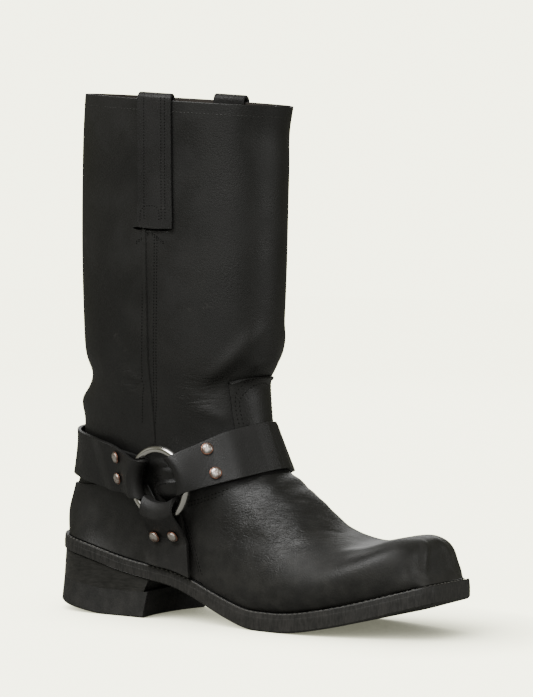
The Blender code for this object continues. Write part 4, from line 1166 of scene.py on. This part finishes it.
@dataclass
class SideTrim:
    """What is sewn on one side of the shaft: the piping down its seam and the pull strap."""

    side: Side
    finishes: Finishes
    shaft: BVHTree
    piping_sunk: float = 0.0009
    arch: tuple[tuple[float, float], ...] = (
        (-10.4, 261),
        (-10.2, 267),
        (-7.6, 270.4),
        (-3.0, 271.3),
        (2.2, 270.6),
        (4.4, 267.4),
        (4.5, 261.5),
    )
    pull_middle: dict[Side, float] = field(default_factory=lambda: {Side.OUTER: 43.5, Side.INNER: 37.0})

    def build(self) -> None:
        """Builds the piping, the pull strap, its stitches, and the painted shade and lip of the slit that
        takes it in.
        """
        word = self.side.word
        piping = cage_from(f"side_seam_{word}", f"piping_{word}", 0.55, 30.0)
        smooth_through(piping, 2)
        places = vertex_places(piping)
        places[:, 1] -= self.side.value * self.piping_sunk
        set_places(piping, places)
        shade(piping)
        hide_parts(f"side_seam_{word}")
        dress(piping, "upper_leather", self.finishes.leather)

        pull = cage_from(f"pull_strap_{word}", f"pull_{word}", 0.75, 40.0)
        smooth_through(pull, 2)
        shade(pull)
        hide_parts(f"pull_strap_{word}")
        dress(pull, "upper_leather", self.finishes.strap)

        self.sew_pull(pull)
        self.cut_slit()

    def sew_pull(self, pull: bpy.types.Object) -> None:
        """Stitches the pull strap: one row behind, two in front, and an arch at its foot."""
        x, y = self.pull_middle[self.side], self.side.value * 52.0
        rows = Stitching(f"pull_stitching_{self.side.word}", Thread(1.5, 0.75, 0.45, 2.0), surface_of(pull))
        for shift in (-7.2, 6.2, 9.0):
            rows.sew_line(tuple((x + shift, y, z) for z in (342, 320, 300, 280, 262)))
        rows.sew_line(tuple((x + shift, y, z) for shift, z in self.arch))
        piece = rows.finished()
        dress(piece, "upper_leather", self.finishes.seam_thread)

    def cut_slit(self) -> None:
        """A near-black cord laid in the shaft as painted shade for the slit that takes in the foot of the
        pull strap, and a leather lip below it.
        """
        x, y = self.pull_middle[self.side], self.side.value * 52.0
        word = self.side.word
        line = tuple((x + shift, y, 256.2 - 0.03 * shift) for shift in (-19.0, -14.0, -7.0, 0.0, 7.0, 13.5))
        # The near-black cord is painted shade standing in for the slit's inside.
        slit = cord_along(f"slit_{word}", line, 1.15, self.shaft, 0.60)
        dress(slit, "upper_leather", self.finishes.dark)
        lip = tuple((px, py, pz - 1.9) for px, py, pz in line[1:])
        edge = cord_along(f"slit_lip_{word}", lip, 0.80, self.shaft, 0.40)
        dress(edge, "upper_leather", self.finishes.leather)


@dataclass
class Harness:
    """Four straps, two rings and twelve rivets."""

    finishes: Finishes
    ring_diameter: float = 0.050
    wire: float = 0.0050
    rivet: float = 0.0078
    dome: float = 0.0019

    def build(self) -> None:
        """Builds the straps, then the metal on them."""
        for node in ("strap_front", "strap_rear", "strap_lower_outer", "strap_lower_inner"):
            self.strap(node)
        for side in Side:
            self.ring(side)
        self.rivets()

    def strap(self, node: str) -> None:
        """One strap, its edges eased and its fold rounded."""
        piece = cage_from(node, node + "_leather", 0.72, 40.0)
        smooth_through(piece, 3)
        shade(piece)
        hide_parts(node)
        dress(piece, "strap_leather", self.finishes.strap)

    def seat(self, node: str) -> tuple[Vector, Vector]:
        """The middle of a round CAD node and the direction it faces, away from the boot."""
        places = vertex_places(frame["nodes"][node])
        low, high = places.min(axis=0), places.max(axis=0)
        middle = (low + high) / 2
        normal = np.linalg.svd(places - places.mean(axis=0), full_matrices=False)[2][2]
        outward = middle - np.array(core_point(Vector(middle)))
        return Vector(middle), Vector(normal * math.copysign(1, normal @ outward))

    def ring(self, side: Side) -> None:
        """A wire ring, thickened into a weld where the lower strap hides it."""
        node = f"ring_{side.word}"
        middle, normal = self.seat(node)
        bpy.ops.object.select_all(action="DESELECT")
        bpy.ops.mesh.primitive_torus_add(
            major_segments=96,
            minor_segments=20,
            major_radius=(self.ring_diameter - self.wire) / 2,
            minor_radius=self.wire / 2,
        )
        ring = bpy.context.object
        ring.name = f"ring_wire_{side.word}"
        with editing(ring, "VERT"):
            bm = bmesh.from_edit_mesh(ring.data)
            for vert in bm.verts:
                vert.select_set(vert.co.y < -self.ring_diameter * 0.42 and abs(vert.co.x) < 0.0016)
            bm.select_flush_mode()
            bmesh.update_edit_mesh(ring.data)
            bpy.ops.transform.resize(value=(1.0, 1.03, 1.16))
        turned = (-normal).to_track_quat("-Z", "Y").to_matrix().to_4x4()
        ring.data.transform(Matrix.Translation(middle) @ turned)
        shade(ring)
        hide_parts(node)
        dress(ring, "nickel", self.finishes.nickel)

    def rivet_head(self) -> bpy.types.Object:
        """A flattened dome on a short rim, dented where the hammer met it."""
        bpy.ops.object.select_all(action="DESELECT")
        radius = self.rivet / 2 * 0.90
        bpy.ops.mesh.primitive_cylinder_add(
            vertices=40, radius=radius, depth=0.0007, location=(0, 0, 0.00055)
        )
        head = bpy.context.object
        bpy.ops.object.transform_apply(location=True)
        with editing(head):
            pick_faces(head, lambda face: face.normal.z > 0.9)
            for share, rise in ((0.10, 0.42), (0.16, 0.30), (0.22, 0.18), (0.24, 0.08)):
                bpy.ops.mesh.inset(thickness=radius * share)
                bpy.ops.transform.translate(value=(0, 0, self.dome * rise * 0.62))
            bpy.ops.mesh.poke()
        places = vertex_places(head)
        dents = np.sin(places[:, 0] * 2900) * np.cos(places[:, 1] * 2300 + 0.7)
        high = places[:, 2] > 0.0012
        places[high, 2] += dents[high] * 0.00009
        set_places(head, places)
        ease_edges(head, 0.00012, 40)
        shade(head, 50)
        return head

    def rivet_burr(self) -> bpy.types.Object:
        """The thin copper washer that shows round a rivet's head."""
        bpy.ops.object.select_all(action="DESELECT")
        bpy.ops.mesh.primitive_cylinder_add(
            vertices=40, radius=self.rivet / 2 * 1.02, depth=0.0006, location=(0, 0, 0.0002)
        )
        burr = bpy.context.object
        bpy.ops.object.transform_apply(location=True)
        with editing(burr):
            pick_faces(burr, lambda face: face.normal.z > 0.9)
            bpy.ops.mesh.inset(thickness=self.rivet * 0.05)
            bpy.ops.transform.translate(value=(0, 0, 0.00018))
        ease_edges(burr, 0.00015, 30)
        shade(burr, 50)
        return burr

    def rivets(self) -> None:
        """Sets a copy of the head and the burr in each rivet's place."""
        head, burr = self.rivet_head(), self.rivet_burr()
        for side in Side:
            for strap in ("front", "rear", "lower"):
                for number in (1, 2):
                    node = f"rivet_{strap}_{side.word}_{number}"
                    middle, normal = self.seat(node)
                    places = vertex_places(frame["nodes"][node])
                    depth = min((Vector(place) - middle).dot(normal) for place in places)
                    turned = normal.to_track_quat("Z", "Y").to_matrix().to_4x4()
                    spin = Matrix.Rotation(number * 1.9 + len(strap), 4, "Z")
                    set_in = Matrix.Translation(middle + normal * depth) @ turned @ spin
                    for part, word, finish in (
                        (head, "cap", self.finishes.rivet),
                        (burr, "burr", self.finishes.copper),
                    ):
                        piece = part.copy()
                        piece.data = part.data.copy()
                        piece.name = f"rivet_{word}_{strap}_{side.word}_{number}"
                        piece.data.transform(set_in)
                        bpy.context.scene.collection.objects.link(piece)
                        if word == "cap":
                            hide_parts(node)
                        dress(piece, "nickel", finish)
        for part in (head, burr):
            bpy.data.objects.remove(part)


@dataclass
class Bottom:
    """Outsole, welt, heel stack, top lift and insole, with the welt's stitches."""

    finishes: Finishes
    stitch_inset: float = 0.0017
    thread: Thread = Thread(2.9, 0.95, 0.60, 3.9)

    def build(self) -> None:
        """Builds the layers and the row of stitches on the welt."""
        layers = (
            ("outsole", "sole_rubber", self.finishes.outsole, 1.0),
            ("welt", "heel_leather", self.finishes.welt, 1.0),
            ("heel_stack", "heel_leather", self.finishes.heel, 1.0),
            ("heel_top_lift", "lift_rubber", self.finishes.lift, 1.0),
            ("insole", "insole_leather", self.finishes.insole, 0.80),
        )
        for node, slot, finish, rim in layers:
            piece = cage_from(node, node + "_layer", rim, 35.0)
            self.close_up(piece, node)
            smooth_through(piece, 2)
            shade(piece, 45)
            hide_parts(node)
            dress(piece, slot, finish)
            if node == "welt":
                self.sew_welt(piece)

    def close_up(self, piece: bpy.types.Object, node: str) -> None:
        """Eases a layer's edge against its neighbour, so that the two read as one band."""
        gap = {"outsole": 0.00045, "welt": 0.00035, "heel_stack": 0.0002, "heel_top_lift": 0.0002}.get(node)
        if gap is None:
            return
        with editing(piece, "EDGE"):
            bm = bmesh.from_edit_mesh(piece.data)
            tops = node in ("outsole", "heel_top_lift")
            for edge in bm.edges:
                if edge.smooth:
                    continue
                faces = [face.normal.z for face in edge.link_faces]
                wanted = max(faces) > 0.85 if tops else min(faces) < -0.85
                edge.select_set(wanted or (node == "heel_stack" and max(faces) > 0.85))
            bm.select_flush_mode()
            bmesh.update_edit_mesh(piece.data)
            bpy.ops.transform.shrink_fatten(value=gap)

    def sew_welt(self, welt: bpy.types.Object) -> None:
        """The light row of stitches along the welt's ledge."""
        surface = surface_of(welt)
        loops = cut_edges(welt)[:2]
        top = max(loops, key=lambda loop: loop[:, 2].mean())
        row = Stitching("welt_stitching", self.thread, surface)
        row.sew(inset_loop(top, surface, self.stitch_inset))
        piece = row.finished()
        dress(piece, "heel_leather", self.finishes.welt_thread)


@dataclass
class Studio:
    """The plain floor, the soft lights and the camera."""

    pale: Colour = (0.863, 0.863, 0.640)
    glow: float = 5.9
    air: float = 0.17
    # shadow and lean: the power and the tilt of the painted shadow on the floor.
    shadow: float = 1.7
    lean: Place = (-0.58, -0.36, 0.73)
    aim: Place = (0.0659, 0.0461, 0.1752)
    eye: Place = (1.3851, -1.8380, 0.300)
    lens: float = 178.2
    boxes: tuple[tuple[str, Place, float, float], ...] = (
        ("top_light", (-0.10, -1.05, 1.62), 1.0, 29.0),
        ("front_light", (1.3, -1.8, 1.0), 1.6, 13.0),
        ("right_light", (1.9, 0.6, 0.7), 1.0, 8.0),
        ("back_light", (-1.05, 1.75, 1.15), 1.5, 15.0),
        ("left_light", (-1.7, -0.9, 0.8), 1.0, 0.9),
    )

    def build(self) -> None:
        """Sets the whole studio."""
        self.floor()
        self.world()
        self.lights()
        self.camera()

    def floor(self) -> None:
        """A wide flat pale sheet under the boot, which glows evenly for the camera, with a painted shadow
        round the boot where ambient occlusion finds it near.
        """
        bpy.ops.object.select_all(action="DESELECT")
        bpy.ops.mesh.primitive_plane_add(size=9.0)
        floor = bpy.context.object
        floor.name = "floor"
        with editing(floor):
            bpy.ops.mesh.select_all(action="SELECT")
            bpy.ops.mesh.subdivide(number_cuts=2)
        material, nodes, shader, place = start_material("pale_floor")
        soft = nodes.add("TexNoise", Vector=place, Scale=2.0, Detail=2.0)
        base = nodes.tint(soft.outputs["Fac"], (0.30, 0.30, 0.28), (0.32, 0.32, 0.30))
        nodes.feed(shader, "Base Color", base)
        shader.inputs["Roughness"].default_value = 0.9
        shader.inputs["Specular IOR Level"].default_value = 0.1
        seen = nodes.add("LightPath").outputs["Is Camera Ray"]
        # Painted shadow: ambient occlusion, tilted by lean and raised to the shadow power, darkens the
        # floor's glow round the boot.
        near = nodes.add("AmbientOcclusion", samples=16, Distance=0.088)
        lean = nodes.add("CombineXYZ", X=self.lean[0], Y=self.lean[1], Z=self.lean[2])
        nodes.feed(near, "Normal", lean.outputs["Vector"])
        unshadowed_share = nodes.sum("POWER", near.outputs["AO"], self.shadow)
        shader.inputs["Emission Color"].default_value = (*self.pale, 1.0)
        glow = nodes.sum("MULTIPLY", nodes.sum("MULTIPLY", unshadowed_share, seen), self.glow)
        nodes.feed(shader, "Emission Strength", glow)
        floor.data.materials.append(material)

    def world(self) -> None:
        """Pale air that lights the boot less than it shows."""
        world = bpy.data.worlds.new("studio_air")
        bpy.context.scene.world = world
        world.use_nodes = True
        nodes = Nodes(world.node_tree)
        back = world.node_tree.nodes["Background"]
        back.inputs["Color"].default_value = (*self.pale, 1.0)
        path = nodes.add("LightPath")
        seen = path.outputs["Is Camera Ray"]
        nodes.feed(back, "Strength", nodes.sum("MULTIPLY_ADD", seen, self.glow, self.air))

    def lights(self) -> None:
        """Soft boxes above, beside the camera, to the right, behind and to the left."""
        for name, place, size, power in self.boxes:
            self.soft_box(name, place, size, power)

    def soft_box(self, name: str, place: Place, size: float, power: float) -> None:
        """A square light that faces the boot."""
        light = bpy.data.lights.new(name, "AREA")
        light.size = size
        light.energy = power
        lamp = bpy.data.objects.new(name, light)
        lamp.location = place
        lamp.rotation_mode = "QUATERNION"
        lamp.rotation_quaternion = (Vector((0.07, 0.0, 0.14)) - Vector(place)).to_track_quat("-Z", "Y")
        bpy.context.scene.collection.objects.link(lamp)

    def camera(self) -> None:
        """The camera at the photograph's angle."""
        camera = bpy.data.cameras.new("camera")
        camera.lens = self.lens
        camera.sensor_width = 36.0
        camera.clip_end = 60.0
        eye = bpy.data.objects.new("camera", camera)
        eye.location = self.eye
        eye.rotation_mode = "QUATERNION"
        eye.rotation_quaternion = (Vector(self.aim) - Vector(self.eye)).to_track_quat("-Z", "Y")
        bpy.context.scene.collection.objects.link(eye)
        bpy.context.scene.camera = eye


def main() -> None:
    """Builds the boot, piece by piece, and the studio round it."""
    logging.basicConfig(level=logging.INFO, format="%(message)s")
    finishes = Finishes()
    skins = LeatherUpper(finishes).build()
    shaft = surface_of(skins["upper"])
    for side in Side:
        SideTrim(side, finishes, shaft).build()
    Harness(finishes).build()
    Bottom(finishes).build()
    Studio().build()


if __name__ == "__main__":
    main()
